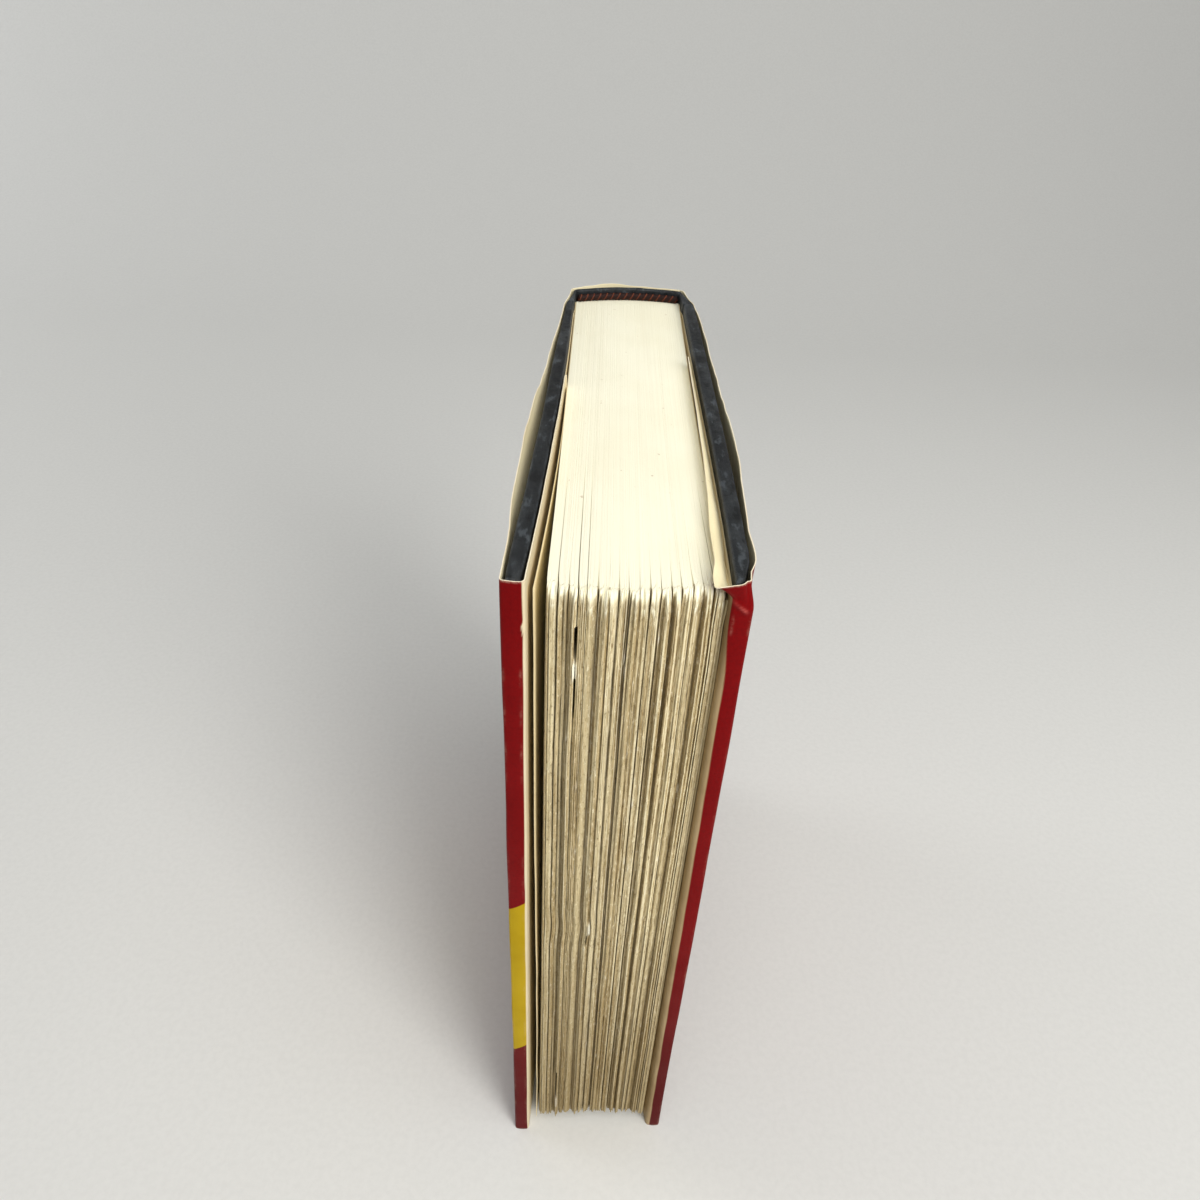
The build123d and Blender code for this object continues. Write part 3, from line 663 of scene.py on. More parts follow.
    faces = [tuple(f) for f in grid_faces(nc, nr, flip=True)]
    idx = np.arange(nc * nr).reshape(nc, nr)
    for c in range(nc - 1):                                  # the sewn back
        faces.append((idx[c, 0], idx[c + 1, 0], idx[c + 1, -1], idx[c, -1]))
    faces.append(tuple(idx[0, :]))
    faces.append(tuple(idx[-1, ::-1]))
    o = make_object("leaf_block", pts, faces, [PAGE], None, False, None, {"age": AGE, "recess": RECESS_SHADE, "chip": CHIP, "leaf_tone_and_shade": LEAF_TONE_AND_SHADE})
    fix_normals(o)
    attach(o, "book_block")
    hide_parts("text_block")
    return o


# ---------------------------------------------------------------- free endpapers
def build_endpaper(side, stand):
    nz = Noise(31 + side)
    slip = side * SLIP * HALF
    top, bend, end = slip - 0.6, slip - 0.45 * 141.0, slip - 141.0 - 0.2
    y = np.concatenate([np.linspace(top, bend, 10, endpoint=False), bend + (end - bend) * np.linspace(0, 1, 30) ** 0.9])
    z = np.concatenate([[TAIL, TAIL + 0.8], np.linspace(TAIL + 4, HEAD - 4, 44), [HEAD - 1.5, HEAD]])
    Y, Z = np.meshgrid(y, z, indexing="ij")
    t = np.clip((bend - Y) / (bend - end), 0, 1)
    ride = fan(side, Z) * np.exp(-np.maximum(Y - end, 0) / FAN_LEN) * (1 - smooth(Y, bend, bend + 40))
    if side < 0:
        fall = 0.62 + 0.38 * smooth(Z, 20, 200)
        off = stand * t ** 2 * fall + 0.10 * nz(Y / 30.0, Z / 45.0) * t + 0.10 * t ** 3 * nz(Z / 12.0, 3.3)
        off = np.maximum(off, ride + 0.02)
    else:
        off = ride + 0.02 + stand * t ** 3 * 0.3 + 0.45 * smooth(Z, 198, HEAD) * t ** 2
    X = side * (HALF + 0.10 + off)
    mid = np.stack([X, Y, Z + 0.12 * nz(Y / 9.0, 1.5) * (Z > HEAD - 0.1)], -1)
    s = np.concatenate([[0], np.cumsum(np.linalg.norm(np.diff(mid[:, 0, :2], axis=0), axis=1))])
    uv = np.stack(np.broadcast_arrays(s[:, None] / 100, Z / 100), -1)
    o = sheet_object(f"{SIDE_NAME[side]}_free_leaf", mid, 0.07, side > 0, [END, END, END], uv)
    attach(o, "book_block")
    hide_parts(f"{SIDE_NAME[side]}_free_endpaper")
    return o


def build_hinge_paper(side):
    """The part of the end sheet that crosses the joint, from the pasted half to the free half."""
    slip = side * SLIP * HALF
    path = [(side * 15.375, slip + 0.2), (side * 15.375, slip - 3.0), (side * 15.385, slip - 6.6)]
    path += [tuple(cover_point(side, -0.31, V_SPINE + 0.35)), tuple(cover_point(side, -0.385, V_SPINE - 0.8)), tuple(cover_point(side, -0.385, V_SPINE - 4.0))]
    line = even(through(path, 12), 34)
    z = np.concatenate([[TAIL, TAIL + 0.6], np.linspace(TAIL + 5, HEAD - 5, 30), [HEAD - 0.6, HEAD]])
    mid = np.zeros((len(line), len(z), 3))
    mid[..., :2] = line[:, None, :]
    mid[..., 2] = z
    o = sheet_object(f"{SIDE_NAME[side]}_hinge_paper", mid, 0.04, side > 0, [END, END, END])
    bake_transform(o)
    return o


def build_pasted(side):
    """The pasted half of the end sheet; the edges of the turned-in cloth show through it."""
    n3 = Noise(37 + side)
    v0, v1 = V_FORE + 3.0, V_SPINE - 0.6
    a, b = V_FORE + 15.0, V_SPINE - 1.1
    v = np.sort(np.concatenate([np.linspace(v0, v1, 46), [a - 0.5, a - 0.2, a + 0.1, a + 0.4, b - 0.25]]))
    z = np.sort(np.concatenate([np.linspace(TAIL, HEAD, 60), [14.6, 14.9, 15.2, 15.5, 194.5, 194.8, 195.1, 195.4]]))
    V, Z = np.meshgrid(v, z, indexing="ij")
    inside = smooth(V, a - 0.1, a + 0.5) * smooth(Z, 15.0, 15.5) * (1 - smooth(Z, 194.5, 195.0)) * (1 - smooth(V, b - 0.3, b - 0.02))
    U = -0.245 + 0.28 * inside + 0.012 * n3(V / 6.0, Z / 6.0)
    plan = cover_point(side, U, V)
    mid = np.concatenate([plan, Z[..., None]], -1)
    o = sheet_object(f"{SIDE_NAME[side]}_pasted_leaf", mid, 0.07, side < 0, [PASTE, PASTE, PASTE])
    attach(o, f"{SIDE_NAME[side]}_cover")
    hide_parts(f"{SIDE_NAME[side]}_pastedown")
    return o


# ---------------------------------------------------------------- covers
def slab(side, u0, u1, v0, v1, z0, z1, r, q, recess=False, seed=41):
    """A flat slab with rounded edges that follows the warp of the board; returns points [round, up], faces and the outline normals."""
    nz = Noise(seed + side)
    n_v = 48
    v_out = np.linspace(v0 - r, v1 + r, n_v)
    v_in = np.linspace(v1 + r, v0 - r, n_v)
    if recess:
        step = [V_FORE + 15.0 - 0.12, V_FORE + 15.0 + 0.12, V_SPINE - 1.0, V_SPINE - 1.2]
        v_in = np.sort(np.concatenate([np.linspace(v1 + r, v0 - r, n_v - 4), step]))
    pts, nrm, inside = [], [], []

    def arc(cu, cv, a0, a1, n=6):
        for a in np.linspace(a0, a1, n + 2)[1:-1]:
            pts.append((cu + r * math.cos(a), cv + r * math.sin(a))); nrm.append((math.cos(a), math.sin(a))); inside.append(0)

    for v in v_out:
        pts.append((u1, v)); nrm.append((1, 0)); inside.append(0)
    arc(u1 - r, v1 + r, 0, -math.pi / 2)
    for u in np.linspace(u1 - r, u0 + r, 4):
        pts.append((u, v1)); nrm.append((0, -1)); inside.append(0)
    arc(u0 + r, v1 + r, -math.pi / 2, -math.pi)
    for v in v_in:
        pts.append((u0, v)); nrm.append((-1, 0)); inside.append(1)
    arc(u0 + r, v0 - r, math.pi, math.pi / 2)
    for u in np.linspace(u0 + r, u1 - r, 4):
        pts.append((u, v0)); nrm.append((0, 1)); inside.append(0)
    arc(u1 - r, v0 - r, math.pi / 2, 0)
    pts, nrm, inside = np.array(pts), np.array(nrm), np.array(inside)
    low = q * np.array([0.0, 0.04, 0.15, 0.38, 0.67, 1.0])
    zs = np.concatenate([z0 + low, [2, 4, 7, 10, 14.86, 15.14], np.linspace(19, 191, 36), [194.86, 195.14, 200, 203, 205, 206.5, 207.8, 208.6], z1 - low[::-1]])
    rows = []
    for z in zs:
        e = min(z - z0, z1 - z)
        inset = q - math.sqrt(max(q * q - (q - min(e, q)) ** 2, 0.0))
        p = pts - nrm * inset
        if recess:
            deep = (inside > 0) & (p[:, 1] > V_FORE + 15.0) & (p[:, 1] < V_SPINE - 1.1) & (15.0 < z < 195.0)
            p[:, 0] = np.where(deep, 0.145, p[:, 0])
        share = np.clip((p[:, 0] - u0) / (u1 - u0), 0, 1)
        # slightly uneven surface, softened corners at head and fore-edge, thinner at the joint
        bumpy = 0.05 * nz(p[:, 1] / 7.0, z / 7.0 + 40 * (p[:, 0] > 1)) * (inside == 0)
        lumps = 0.20 * nz(p[:, 1] / 2.1 + 9.0, z / 2.3 + p[:, 0]) * smooth(z, 203.0, 208.0) * smooth(-p[:, 1], -V_FORE - 12.0, -V_FORE - 2.0) * (inside == 0)
        p = p + nrm * (bumpy + lumps)[:, None]
        near_head = smooth(z, 202.0, CASE_H) + smooth(CASE_H - z, 203.0, CASE_H)
        near_fore = smooth(-p[:, 1], -V_FORE - 7.0, -V_FORE)
        knock = near_head * near_fore
        zz = z - np.sign(z - 105) * (0.42 * knock + 0.10 * np.abs(nz(p[:, 1] / 16.0, 7.0 + (z > 105))) * near_head)
        p[:, 1] = p[:, 1] + 0.45 * knock * near_fore
        p[:, 0] = p[:, 0] - 0.18 * knock * np.clip((p[:, 0] - 1.5) / 1.6, -1, 1) - thin(side, p[:, 1]) * share
        if side > 0:                                          # the head corner of the back board is knocked in
            blow = smooth(z, 203.0, 209.5) * smooth(-p[:, 1], -V_FORE - 9.0, -V_FORE - 0.5) * np.clip((p[:, 0] - 0.9) / 2.2, 0, 1)
            p[:, 0] -= 1.25 * blow
            p[:, 1] += 0.75 * blow
        rows.append(np.column_stack([cover_point(side, p[:, 0], p[:, 1]), zz]))
    n, m = len(pts), len(zs)
    P = np.stack(rows, 1)
    faces = []
    for k in range(n):
        a, b = k, (k + 1) % n
        faces += [(a * m + j, b * m + j, b * m + j + 1, a * m + j + 1) for j in range(m - 1)]
    first = int(np.argmax(inside))
    n_in = int(inside.sum())
    for j, up in ((0, False), (m - 1, True)):
        outer = [k * m + j for k in range(n_v)]
        fore = [k * m + j for k in range(n_v, first)]
        inner = [k * m + j for k in range(first, first + n_in)]
        back = [k * m + j for k in range(first + n_in, n)]
        turn = inner[::-1]
        caps = [(outer[k], outer[k + 1], turn[k + 1], turn[k]) for k in range(n_v - 1)]
        caps += [tuple([outer[-1]] + fore + [inner[0]]), tuple([inner[-1]] + back + [outer[0]])]
        faces += [f if not up else f[::-1] for f in caps]
    return P, faces, nrm, np.minimum(zs - z0, z1 - zs)


def build_cover(side):
    """A board in cloth: rounded edges, turned-in margins inside, bumped corners."""
    P, faces, nrm, e = slab(side, U_TURN, U_OUT, V_SPINE, V_FORE, 0.0, CASE_H, 0.9, 0.78, recess=True)
    along = np.abs(nrm[:, 0]) * np.abs(nrm[:, 1]) * 2
    worn = np.clip(0.42 * bell(e, 0.36, 0.24)[None, :] + 0.40 * along[:, None], 0, 1)
    o = make_object(f"{SIDE_NAME[side]}_cover_case", P.reshape(-1, 3), faces, [CLOTH], None, True, None, {"worn": worn})
    fix_normals(o)
    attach(o, f"{SIDE_NAME[side]}_cover")
    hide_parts(f"{SIDE_NAME[side]}_cover_cloth")
    P, faces, _, _ = slab(side, 0.22, 2.78, V_SPINE - 0.35, V_FORE + 0.35, 0.45, CASE_H - 0.45 - 0.3, 0.4, 0.3, seed=45)
    o = make_object(f"{SIDE_NAME[side]}_board_core", P.reshape(-1, 3), faces, [BOARD], None, True)
    fix_normals(o)
    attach(o, f"{SIDE_NAME[side]}_cover")
    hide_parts(f"{SIDE_NAME[side]}_board")


def fix_normals(o):
    import bmesh
    bm = bmesh.new()
    bm.from_mesh(o.data)
    bmesh.ops.recalc_face_normals(bm, faces=bm.faces)
    bm.to_mesh(o.data)
    bm.free()
    o.data.update()


CORNER = math.asin((15.148 + 0.5) / (BACK_R + 1.27))       # where the back turns into the joint
# outer and inner line of the cloth in the joints, from the back to the edge of the board
JOINT = {-1: ([(-15.98, 0.45), (-16.10, -1.4), (-16.32, -3.6), (-16.72, -6.2), (-17.30, -8.6), (-17.66, -9.75)],
              [(-15.10, 0.10), (-15.36, -1.8), (-15.50, -3.8), (-15.52, -6.2), (-15.56, -8.4), (-15.66, -9.70)]),
         1: ([(15.72, 3.00), (16.10, 1.4), (16.75, -1.0), (17.50, -3.6), (18.15, -5.8), (18.52, -7.15)],
             [(14.85, 2.55), (15.34, 0.7), (15.50, -1.2), (15.54, -3.6), (15.62, -5.8), (15.78, -7.10)])}


def build_case_spine(side):
    """The cloth back with its card (with the front joint), and the joint that runs on to the board."""
    out, inn = (even(through(q, 10), 26) for q in JOINT[side])
    if side < 0:
        ang = np.linspace(CORNER, -CORNER, 52)
        o_line, i_line = spine_point(1.92, ang), spine_point(0.62, ang)
        o_line, i_line = np.vstack([o_line[:-1], out]), np.vstack([i_line[:-1], inn])
    else:
        ang = np.linspace(CORNER * 0.93, CORNER, 5)
        o_line, i_line = np.vstack([spine_point(1.90, ang)[:-1], out]), np.vstack([spine_point(0.64, ang)[:-1], inn])
    line = 0.5 * (o_line + i_line)
    half = 0.5 * np.linalg.norm(o_line - i_line, axis=1)
    k = np.ones(5) / 5
    half = np.convolve(np.pad(half, 2, mode="edge"), k, "valid")
    line = np.stack([np.convolve(np.pad(line[:, c], 2, mode="reflect", reflect_type="odd"), k, "valid") for c in (0, 1)], 1)
    q = 0.55
    low = q * np.array([0.0, 0.06, 0.22, 0.5, 1.0])
    z = np.concatenate([low, [1.5, 4, 8], np.linspace(14, 196, 26), [202, 206, 208.5], CASE_H - low[::-1]])
    e = np.minimum(z, CASE_H - z)
    inset = q - np.sqrt(np.clip(q * q - (q - np.minimum(e, q)) ** 2, 0, None))
    nz = Noise(52)
    mid = np.zeros((len(line), len(z), 3))
    mid[..., :2] = line[:, None, :]
    mid[..., 2] = z[None, :] - 0.10 * (1 + nz(line[:, 0] / 3.0, 4.0))[:, None] * smooth(z, 204, CASE_H)[None, :]
    H = np.maximum(half[:, None] - inset[None, :], 0.10) * (1 + 0.04 * nz(line[:, 0][:, None] / 2.0, z[None, :] / 5.0))
    worn = np.broadcast_to(0.30 * bell(e, 0.3, 0.25), mid.shape[:2])
    o = sheet_object(f"{SIDE_NAME[side]}_case_spine", mid, H, side > 0, [CLOTH, CLOTH, CLOTH], None, {"worn": worn})
    o.data.polygons.foreach_set("use_smooth", np.ones(len(o.data.polygons), bool))
    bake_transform(o)
    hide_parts("spine_cloth")
    return o


# ---------------------------------------------------------------- jacket
STAND = {  # the jacket off the straight outer face of the cover, by distance from the fore-edge
    -1: ([3, 11, 18, 25, 33, 45, 58, 67, 78, 96, 106, 117, 127, 133], [0.25, 0.42, 0.80, 1.15, 1.40, 1.50, 1.35, 1.20, 0.75, -0.15, -0.50, -0.95, -1.20, -1.30]),
    1: ([3, 12, 23, 47, 78, 103, 118, 126, 133], [0.85, 1.15, 1.5, 2.45, 1.7, 0.95, 0.60, 0.15, -0.40]),
}
FLAP_END = {-1: -57.7, 1: -44.5}
WING = {-1: [(-16.40, 0.80), (-16.66, -0.1), (-16.90, -2.8), (-17.28, -6.2), (-17.85, -9.4)],
        1: [(16.14, 3.42), (16.52, 2.55), (17.05, 0.0), (17.88, -3.6), (18.75, -6.8)]}


def build_jacket(side):
    """One half of the jacket, from the back corner of the spine (front: across the spine) round the board to the end of the flap."""
    nz, n2 = Noise(61 + side), Noise(71 + side)
    turn = math.asin(15.6 / (BACK_R + 2.3))

    def back(ang):
        px = spine_point(2.3, ang)[:, 0]
        return spine_point(2.30 + 1.15 * bell(px, -4.0, 7.5), ang)

    spine = back(np.linspace(turn, -turn, 50)) if side < 0 else back(np.array([turn]))
    d, st = STAND[side]
    panel = [tuple(flat_point(side, U_OUT + 0.12 + b, V_FORE + a)) for a, b in list(zip(d, st))[::-1]]
    body = even(through([tuple(spine[-1])] + WING[side] + panel, 14), 110)
    uf = U_IN - (0.42 if side < 0 else 0.20)
    fold = V_FORE - 0.45
    ro, ri = 0.62, (0.90 if side < 0 else 0.95)
    uo = U_OUT + (0.37 if side < 0 else 0.60)                      # outer face of the fold
    corner_o = [(uo - ro + ro * math.cos(a), fold + ro + ro * math.sin(a)) for a in np.radians([-4, -18, -34, -50, -66, -80, -90])]
    face = [(u, fold - 0.10 * math.sin(math.pi * k)) for k, u in zip(np.linspace(0, 1, 19)[1:-1], np.linspace(uo - ro, uf + ri, 19)[1:-1])]
    corner_i = [(uf + ri + ri * math.cos(a), fold + ri + ri * math.sin(a)) for a in np.radians(np.linspace(-90, -180, 13))]
    end = FLAP_END[side]
    flap_v = fold + ri + (end - fold - ri) * np.linspace(0, 1, 34)[1:] ** 1.35
    flap = [(uf + (-0.60 - uf) * (v - fold - ri) / (end - fold - ri), v) for v in flap_v]
    if side < 0:                                           # the end of this flap is curled towards the leaves
        flap += [(-0.64, end + 0.3), (-0.72, end + 0.5), (-0.86, end + 0.6), (-1.02, end + 0.58)]
    local = corner_o + face + corner_i + flap
    line = np.vstack([spine[:-1], body, [cover_point(side, u, v) for u, v in local]])
    s = lengths(line)
    i_o = len(spine) - 1 + len(body)                       # first point of the outer fold corner
    i_f = i_o + len(corner_o) - 1
    i_i = i_o + len(corner_o) + len(face)                  # inner fold corner
    i_e = i_i + len(corner_i) - 1
    tang = np.gradient(line, axis=0)
    tang /= np.linalg.norm(tang, axis=1, keepdims=True)
    nrm = np.stack([tang[:, 1], -tang[:, 0]], 1) * side * -1
    if nrm[len(spine) + 60, 0] * side < 0:
        nrm = -nrm
    z = np.concatenate([[0, 0.4, 1.2, 3, 6], np.arange(10, 190, 3.5), np.arange(190.5, 200, 1.2), np.arange(200.2, 209.3, 0.42), [209.45, 209.7, 209.88, 210]])
    S, Z = np.meshgrid(s, z, indexing="ij")
    X0 = np.broadcast_to(line[:, 0][:, None], S.shape)
    mid = np.zeros(S.shape + (3,))
    s_w, s_o, s_f, s_i, s_e = s[len(spine) + 12], s[i_o], s[i_f], s[i_i], s[i_e]
    on_panel = smooth(S, s_w + 4, s_w + 30) * (1 - smooth(S, s_o - 14, s_o - 1.5))
    on_flap = smooth(S, s_e + 4, s_e + 25)
    top = np.exp(-(CASE_H - Z) / 7.0)
    off = on_panel * ((0.22 if side < 0 else 0.13) * nz(S / 42.0, Z / 48.0) * (1 - top) + 0.20 * top * n2(S / 10.0, 5.0) + 0.12 * top * n2(S / 4.5, 9.0) - (0.5 if side < 0 else 0.22) * (1 - Z / CASE_H))
    off += on_flap * 0.04 * nz(S / 35.0, Z / 40.0)
    hx, hy, a = HINGE[side]
    du, dv = side * line[:, 0] - hx, line[:, 1] - hy
    u, v = du * math.cos(a) + dv * math.sin(a), -du * math.sin(a) + dv * math.cos(a)
    room = (u - (U_OUT - warp(side, v) - thin(side, v)))[:, None]
    if side < 0:
        # the sheet lies nearer the board lower down and leans out along the head
        off -= 0.66 * np.clip(room - 0.15, 0, 3.0) * (1 - smooth(Z, 202.0, 210.6)) * on_panel
    panel_part = (S > s[len(spine) + 16]) & (S < s_o - 1.0)
    off = np.where(panel_part, np.maximum(off, 0.24 - room), off)
    # gentle waves along the two fold lines
    at_fold = smooth(S, s_o - 6, s_o) * (1 - smooth(S, s_i, s_e + 8))
    off += at_fold * 0.08 * n2(Z / 17.0, 33.0)
    if side > 0:
        off += 0.55 * bell(S, s_o - 9.0, 5.0) * np.exp(-(CASE_H - Z) / 5.0)
    mid[..., 0] = line[:, None, 0] + nrm[:, None, 0] * off
    mid[..., 1] = line[:, None, 1] + nrm[:, None, 1] * off
    away = smooth(S, 0, 8)
    rag = (0.20 * n2(S / 7.0, 3.0) + 0.13 * n2(S / 2.6, 8.0) - 0.10) * away
    rag = rag + 0.30 * bell(X0, -4.0, 8.0) * (S < 36) * (side < 0)
    mid[..., 2] = Z + rag * smooth(Z, 200, CASE_H) + 0.06 * np.abs(n2(S / 5.0, 50.0)) * (1 - smooth(Z, 0, 6)) * away
    wear = np.maximum(smooth(Z, 209.55, 209.9), smooth(0.6 - Z, 0, 0.6)) * 0.5
    ridge_o = bell(S, s[i_o + 3], 0.30) * 0.16
    ridge_i = bell(S, s[i_i + 1], 0.25) * 0.12
    wear = np.maximum(wear, np.maximum(ridge_o, ridge_i) * smooth(n2(Z / 4.0, S / 30.0 + 60.0), 0.2, 0.75))
    border = s[i_i] + 0.52 if side < 0 else s[i_i] - 0.15
    edge_shift = 0.08 * n2(Z / 8.0, 77.0) + (0.50 * bell(Z, 199.8, 1.1) if side < 0 else -0.9 * smooth(Z, 186, 202))
    bare = smooth(S + edge_shift, border - 0.10, border + 0.10)
    crease = np.zeros_like(S)
    # nearer the board towards the tail
    snug = (1 - smooth(Z, 10, 130)) * smooth(S, s_o - 12.0, s_o - 1.0) * (1 - smooth(S, s_o + 0.8, s_o + 2.0))
    mid[..., 0] -= side * 0.27 * snug
    if side > 0:
        # the flap leans on the leaves, and along the head it lies on the board
        reach = np.maximum(mid[..., 1] + 140.5, 0.0)
        lean = HALF + fan(1, Z) * np.exp(-reach / FAN_LEN) + 0.06 + 0.16 + 0.20
        wall = 16.0 - 0.45 + (mid[..., 1] + 0.22) * -math.sin(HINGE[1][2]) - warp(1, mid[..., 1] + 0.22)
        k = smooth(S, s_e - 0.8, s_e + 5.0)
        gap = np.maximum(wall - lean - 0.12, 0.0) * smooth(S, s_e + 4.0, s_e + 16.0)
        mid[..., 0] = mid[..., 0] * (1 - k) + (np.minimum(lean, wall) + gap * smooth(Z, 172, 203)) * k
        # the head corner is bent in over the end of the board, with a sharp crease across the fold
        up = np.clip((Z - 206.4) / 3.6, 0, 1)
        bend = np.interp(S - s_e, [-1, 2, 6, 20, 30, 45, 65, 100], [3.5, 3.3, 2.3, 1.95, 1.3, 0.9, 0.72, 0.65])
        shift = np.minimum(bend + 0.80 * gap, 3.5) * up ** 1.15 * smooth(S, s_o + 1.0, s_i + 0.8)
        mid[..., 0] -= shift
        mid[..., 2] -= (3.6 - np.sqrt(3.6 ** 2 - shift ** 2)) * up * (0.35 + 0.65 * smooth(S, s_e + 2.0, s_e + 10.0))
        mid[..., 1] -= 0.75 * up ** 1.3 * smooth(S, s_f, s_i) * (1 - smooth(S, s_i + 0.6, s_e + 1.5))
        # the outer corner above is knocked in
        dent = smooth(Z, 203.5, 210.0) * smooth(S, s_o - 7.0, s_o - 0.2) * (1 - smooth(S, s_o + 0.9, s_o + 2.4))
        mid[..., 0] -= 1.10 * dent
        mid[..., 1] += 0.60 * dent
        dx, dz = mid[..., 0] - 17.9, Z - 205.7
        k = (dx * 2.5 + dz * 3.0) / 3.905
        along = (dx * 3.0 - dz * 2.5) / 3.905
        on = smooth(along, -0.9, -0.2) * (1 - smooth(along, 3.0, 4.0)) * smooth(S, s_o, s_o + 0.5) * (1 - smooth(S, s_e - 0.8, s_e))
        mid[..., 1] -= 0.28 * np.exp(-((k / 0.55) ** 2)) * on
        crease = np.exp(-((k / 0.26) ** 2)) * on * np.clip(0.50 + 0.45 * n2(along / 0.9, 2.0), 0, 1)
        bare = bare * (1 - smooth(up, 0.15, 0.5) * smooth(s_e + 2.5 - S, 0, 1.2))
    else:
        mid[..., 0] += 0.22 * bell(Z, 199.8, 1.6) * bell(S, s[i_i + 3], 0.8)
    uv = np.stack([S / 100, Z / 100], -1)
    mat = print_material(side, float(s_o), float(border))
    o = sheet_object(f"jacket_{SIDE_NAME[side]}_sheet", mid, 0.10, side > 0, [mat, RAW, CUT], uv, {"wear": wear, "bare": bare, "crease": crease}, seam=True)
    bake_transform(o)
    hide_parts(f"jacket_{SIDE_NAME[side]}", "jacket_spine")
    return o


# ---------------------------------------------------------------- head and tail bands
def build_band(name, z_page, up):
    """Thread wound round a core in slanting turns, on a narrow tape."""
    n_s, n_t = 420, 18
    ang = np.linspace(-BACK_ANGLE * 0.985, BACK_ANGLE * 0.985, n_s)
    c = spine_point(-0.46, ang)
    s = lengths(c)
    tang = np.gradient(c, axis=0)
    tang /= np.linalg.norm(tang, axis=1, keepdims=True)
    out = np.stack([-tang[:, 1], tang[:, 0]], 1)
    th = np.linspace(0, 2 * math.pi, n_t, endpoint=False)
    nz = Noise(81 if up > 0 else 82)
    phase = 2 * math.pi * s[:, None] / 0.98 + -4.2 * np.sin(th)[None, :] + 0.5 * nz(s / 3.0, 2.0)[:, None]
    r = 0.735 + 0.085 * np.abs(np.sin(phase / 2)) ** 0.8 - 0.03 + 0.03 * nz(s[:, None] / 0.9, th[None, :] * 1.5)
    taper = np.clip(np.minimum(s, s[-1] - s) / 0.35, 0.25, 1) ** 0.5
    r = r * taper[:, None]
    zc = z_page + up * 1.06
    P = np.zeros((n_s, n_t, 3))
    P[..., 0] = c[:, None, 0] + out[:, None, 0] * r * np.cos(th)
    P[..., 1] = c[:, None, 1] + out[:, None, 1] * r * np.cos(th)
    P[..., 2] = zc + 1.33 * r * np.sin(th)
    turn = np.floor(phase / (2 * math.pi)).astype(int)
    strand = np.abs(np.sin(phase / 2)) * np.where(turn % 2 == 0, 1.0, 0.45)
    faces = []
    for k in range(n_s - 1):
        for j in range(n_t):
            a, b = k * n_t + j, k * n_t + (j + 1) % n_t
            faces.append((a, b, b + n_t, a + n_t))
    faces.append(tuple(range(n_t))[::-1])
    faces.append(tuple((n_s - 1) * n_t + j for j in range(n_t)))
    pts = [P.reshape(-1, 3)]
    att = [strand.ravel()]
    # tape glued on the back under the bead
    base = n_s * n_t
    m = 40
    ang2 = np.linspace(-BACK_ANGLE * 0.985, BACK_ANGLE * 0.985, m)
    lo, hi = spine_point(0.05, ang2), spine_point(0.33, ang2)
    z0, z1 = (zc - 9.0, zc) if up > 0 else (zc, zc + 9.0)
    ring = np.vstack([lo, hi[::-1]])
    n = len(ring)
    pts.append(np.column_stack([ring, np.full(n, z0)]))
    pts.append(np.column_stack([ring, np.full(n, z1)]))
    att.append(np.zeros(2 * n))
    for k in range(n):
        a, b = base + k, base + (k + 1) % n
        faces.append((a, b, b + n, a + n))
    for k in range(m - 1):
        a, b, c2, d2 = base + k, base + k + 1, base + n - 2 - k, base + n - 1 - k
        faces.append((d2, c2, b, a))
        faces.append((a + n, b + n, c2 + n, d2 + n))
    o = make_object(name + "_bead", np.vstack(pts), faces, [THREAD], None, True, None, {"strand": np.concatenate(att)})
    fix_normals(o)
    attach(o, "book_block")
    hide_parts(name)
    return o


# ---------------------------------------------------------------- the book
leaves = build_leaves()
front_leaf = build_endpaper(-1, 2.35)
back_leaf = build_endpaper(1, 0.28)
for side in (-1, 1):
    build_cover(side)
    build_pasted(side)
    build_case_spine(side)
    build_hinge_paper(side)
    build_jacket(side)
build_band("headband", HEAD, 1)
build_band("tailband", TAIL, -1)

for node, material in (("spine_mull", GAUZE), ("spine_liner", LINER), ("spine_inlay", LINER)):
    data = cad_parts[node].data
    data.materials.clear()
    data.materials.append(material)


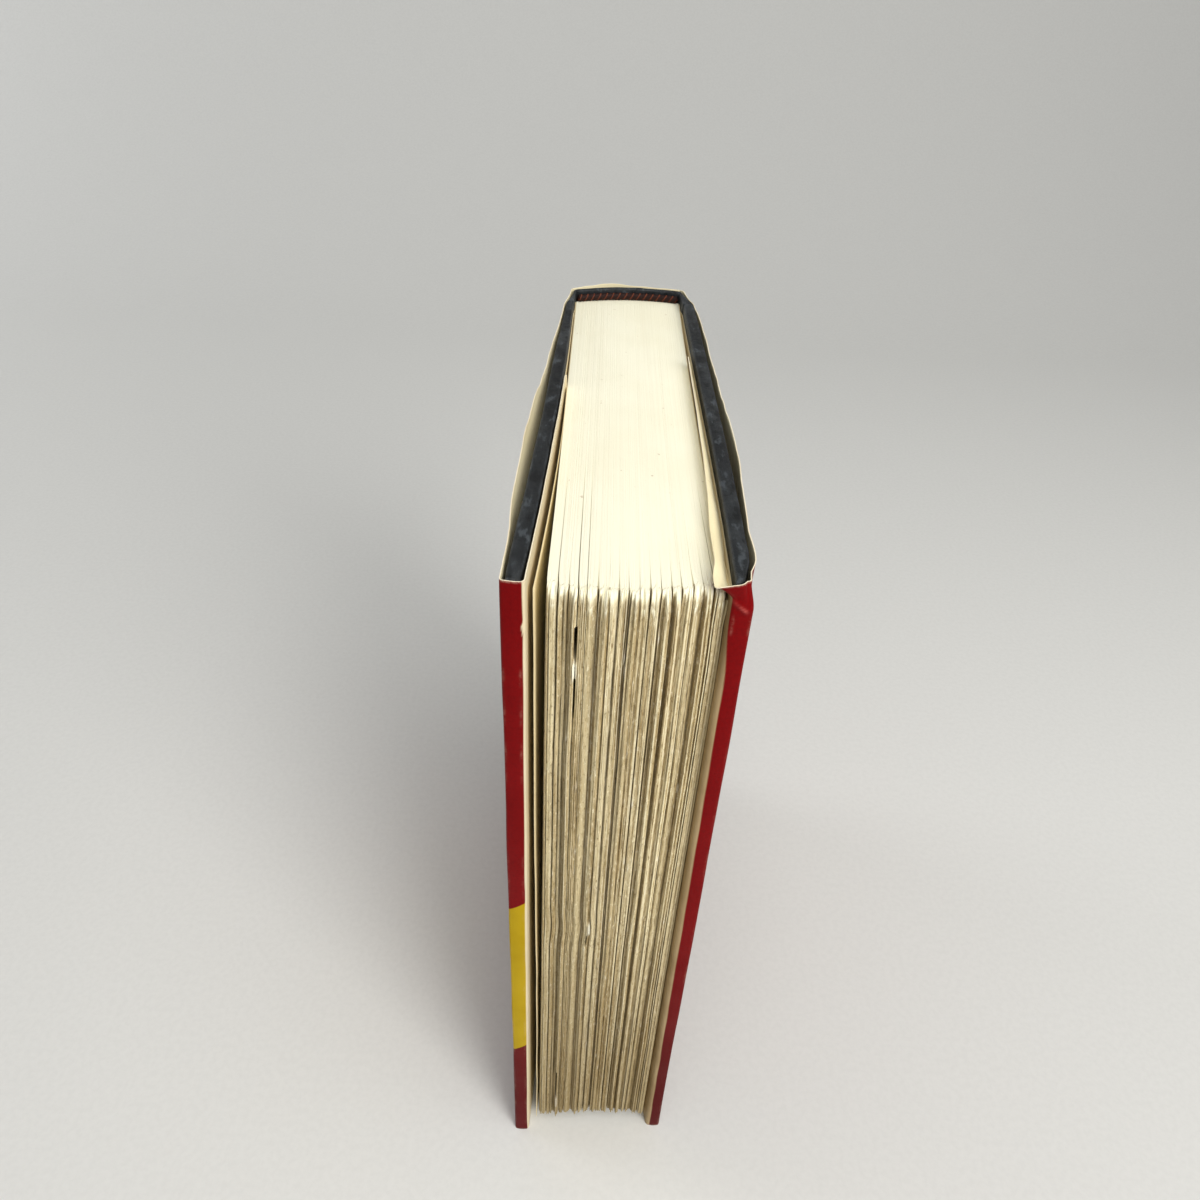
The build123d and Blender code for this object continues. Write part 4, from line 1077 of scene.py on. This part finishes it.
# ---------------------------------------------------------------- floor, light, camera
def build_floor():
    """A pale sweep: level under the book, rising smoothly well behind it."""
    n, m = 60, 3
    y = np.concatenate([np.linspace(-1.4, 0.55, 20), 0.55 + 0.5 * np.sin(np.linspace(0, math.pi / 2, 26)[1:]), np.full(15, 1.05)])
    z = np.concatenate([np.zeros(20), 0.5 * (1 - np.cos(np.linspace(0, math.pi / 2, 26)[1:])), np.linspace(0.5, 1.8, 16)[1:]])
    xs = np.linspace(-2.2, 2.2, m)
    pts = [(x, a, b) for a, b in zip(y, z) for x in xs]
    me = bpy.data.meshes.new("floor")
    faces = [(i * m + j, i * m + j + 1, (i + 1) * m + j + 1, (i + 1) * m + j) for i in range(len(y) - 1) for j in range(m - 1)]
    me.from_pydata(pts, [], faces)
    me.polygons.foreach_set("use_smooth", np.ones(len(me.polygons), bool))
    t = Tree("floor_pale", Specular_IOR_Level=0.1)
    t.colour(t.mix(t.ramp(t.noise(520, 3, 0.6), 0.3, 0.75), srgb(222, 222, 219), srgb(218, 218, 215)))
    t.rough(t.ramp(t.noise(60, 2, 0.5), 0.3, 0.7, 0.88, 0.98))
    me.materials.append(t.mat)
    o = bpy.data.objects.new("floor", me)
    bpy.context.scene.collection.objects.link(o)


def area_light(name, place, target, size, power, colour):
    d = bpy.data.lights.new(name, "AREA")
    d.shape, d.size, d.energy, d.color = "DISK", size, power, colour
    o = bpy.data.objects.new(name, d)
    bpy.context.scene.collection.objects.link(o)
    o.location = place
    o.rotation_mode = "QUATERNION"
    o.rotation_quaternion = (Vector(target) - Vector(place)).to_track_quat("-Z", "Y")


build_floor()
area_light("key", (0.20, -0.38, 1.20), (0.0, -0.02, 0.15), 1.0, 7.85, (1.0, 0.985, 0.95))
area_light("front", (0.50, -0.75, 0.72), (0.0, -0.03, 0.12), 0.55, 7.0, (1.0, 0.98, 0.95))
area_light("fill", (-1.55, 0.45, 0.45), (0.0, 0.0, 0.11), 0.7, 9.0, (0.97, 0.98, 1.0))
world = bpy.data.worlds.new("studio")
bpy.context.scene.world = world
world.use_nodes = True
world.node_tree.nodes["Background"].inputs[0].default_value = (0.93, 0.96, 1.0, 1.0)
world.node_tree.nodes["Background"].inputs[1].default_value = 0.18

pitch, yaw, roll = math.radians(37.614), math.radians(1.004), math.radians(3.143)
fwd = Vector((math.sin(yaw) * math.cos(pitch), math.cos(yaw) * math.cos(pitch), -math.sin(pitch)))
right = fwd.cross(Vector((0, 0, 1))).normalized()
up = right.cross(fwd)
r2 = math.cos(roll) * right + math.sin(roll) * up
u2 = -math.sin(roll) * right + math.cos(roll) * up
cam_data = bpy.data.cameras.new("camera")
cam = bpy.data.objects.new("camera", cam_data)
bpy.context.scene.collection.objects.link(cam)
m = Matrix((r2, u2, -fwd)).transposed().to_4x4()
m.translation = Vector((-0.00695, -0.20196, 0.30474))
cam.matrix_world = m
cam_data.sensor_fit = "HORIZONTAL"
cam_data.sensor_width = 36.0
cam_data.lens = 27.876
cam_data.clip_start, cam_data.clip_end = 0.01, 20.0
bpy.context.scene.camera = cam
bpy.context.scene.view_settings.view_transform = "Standard"
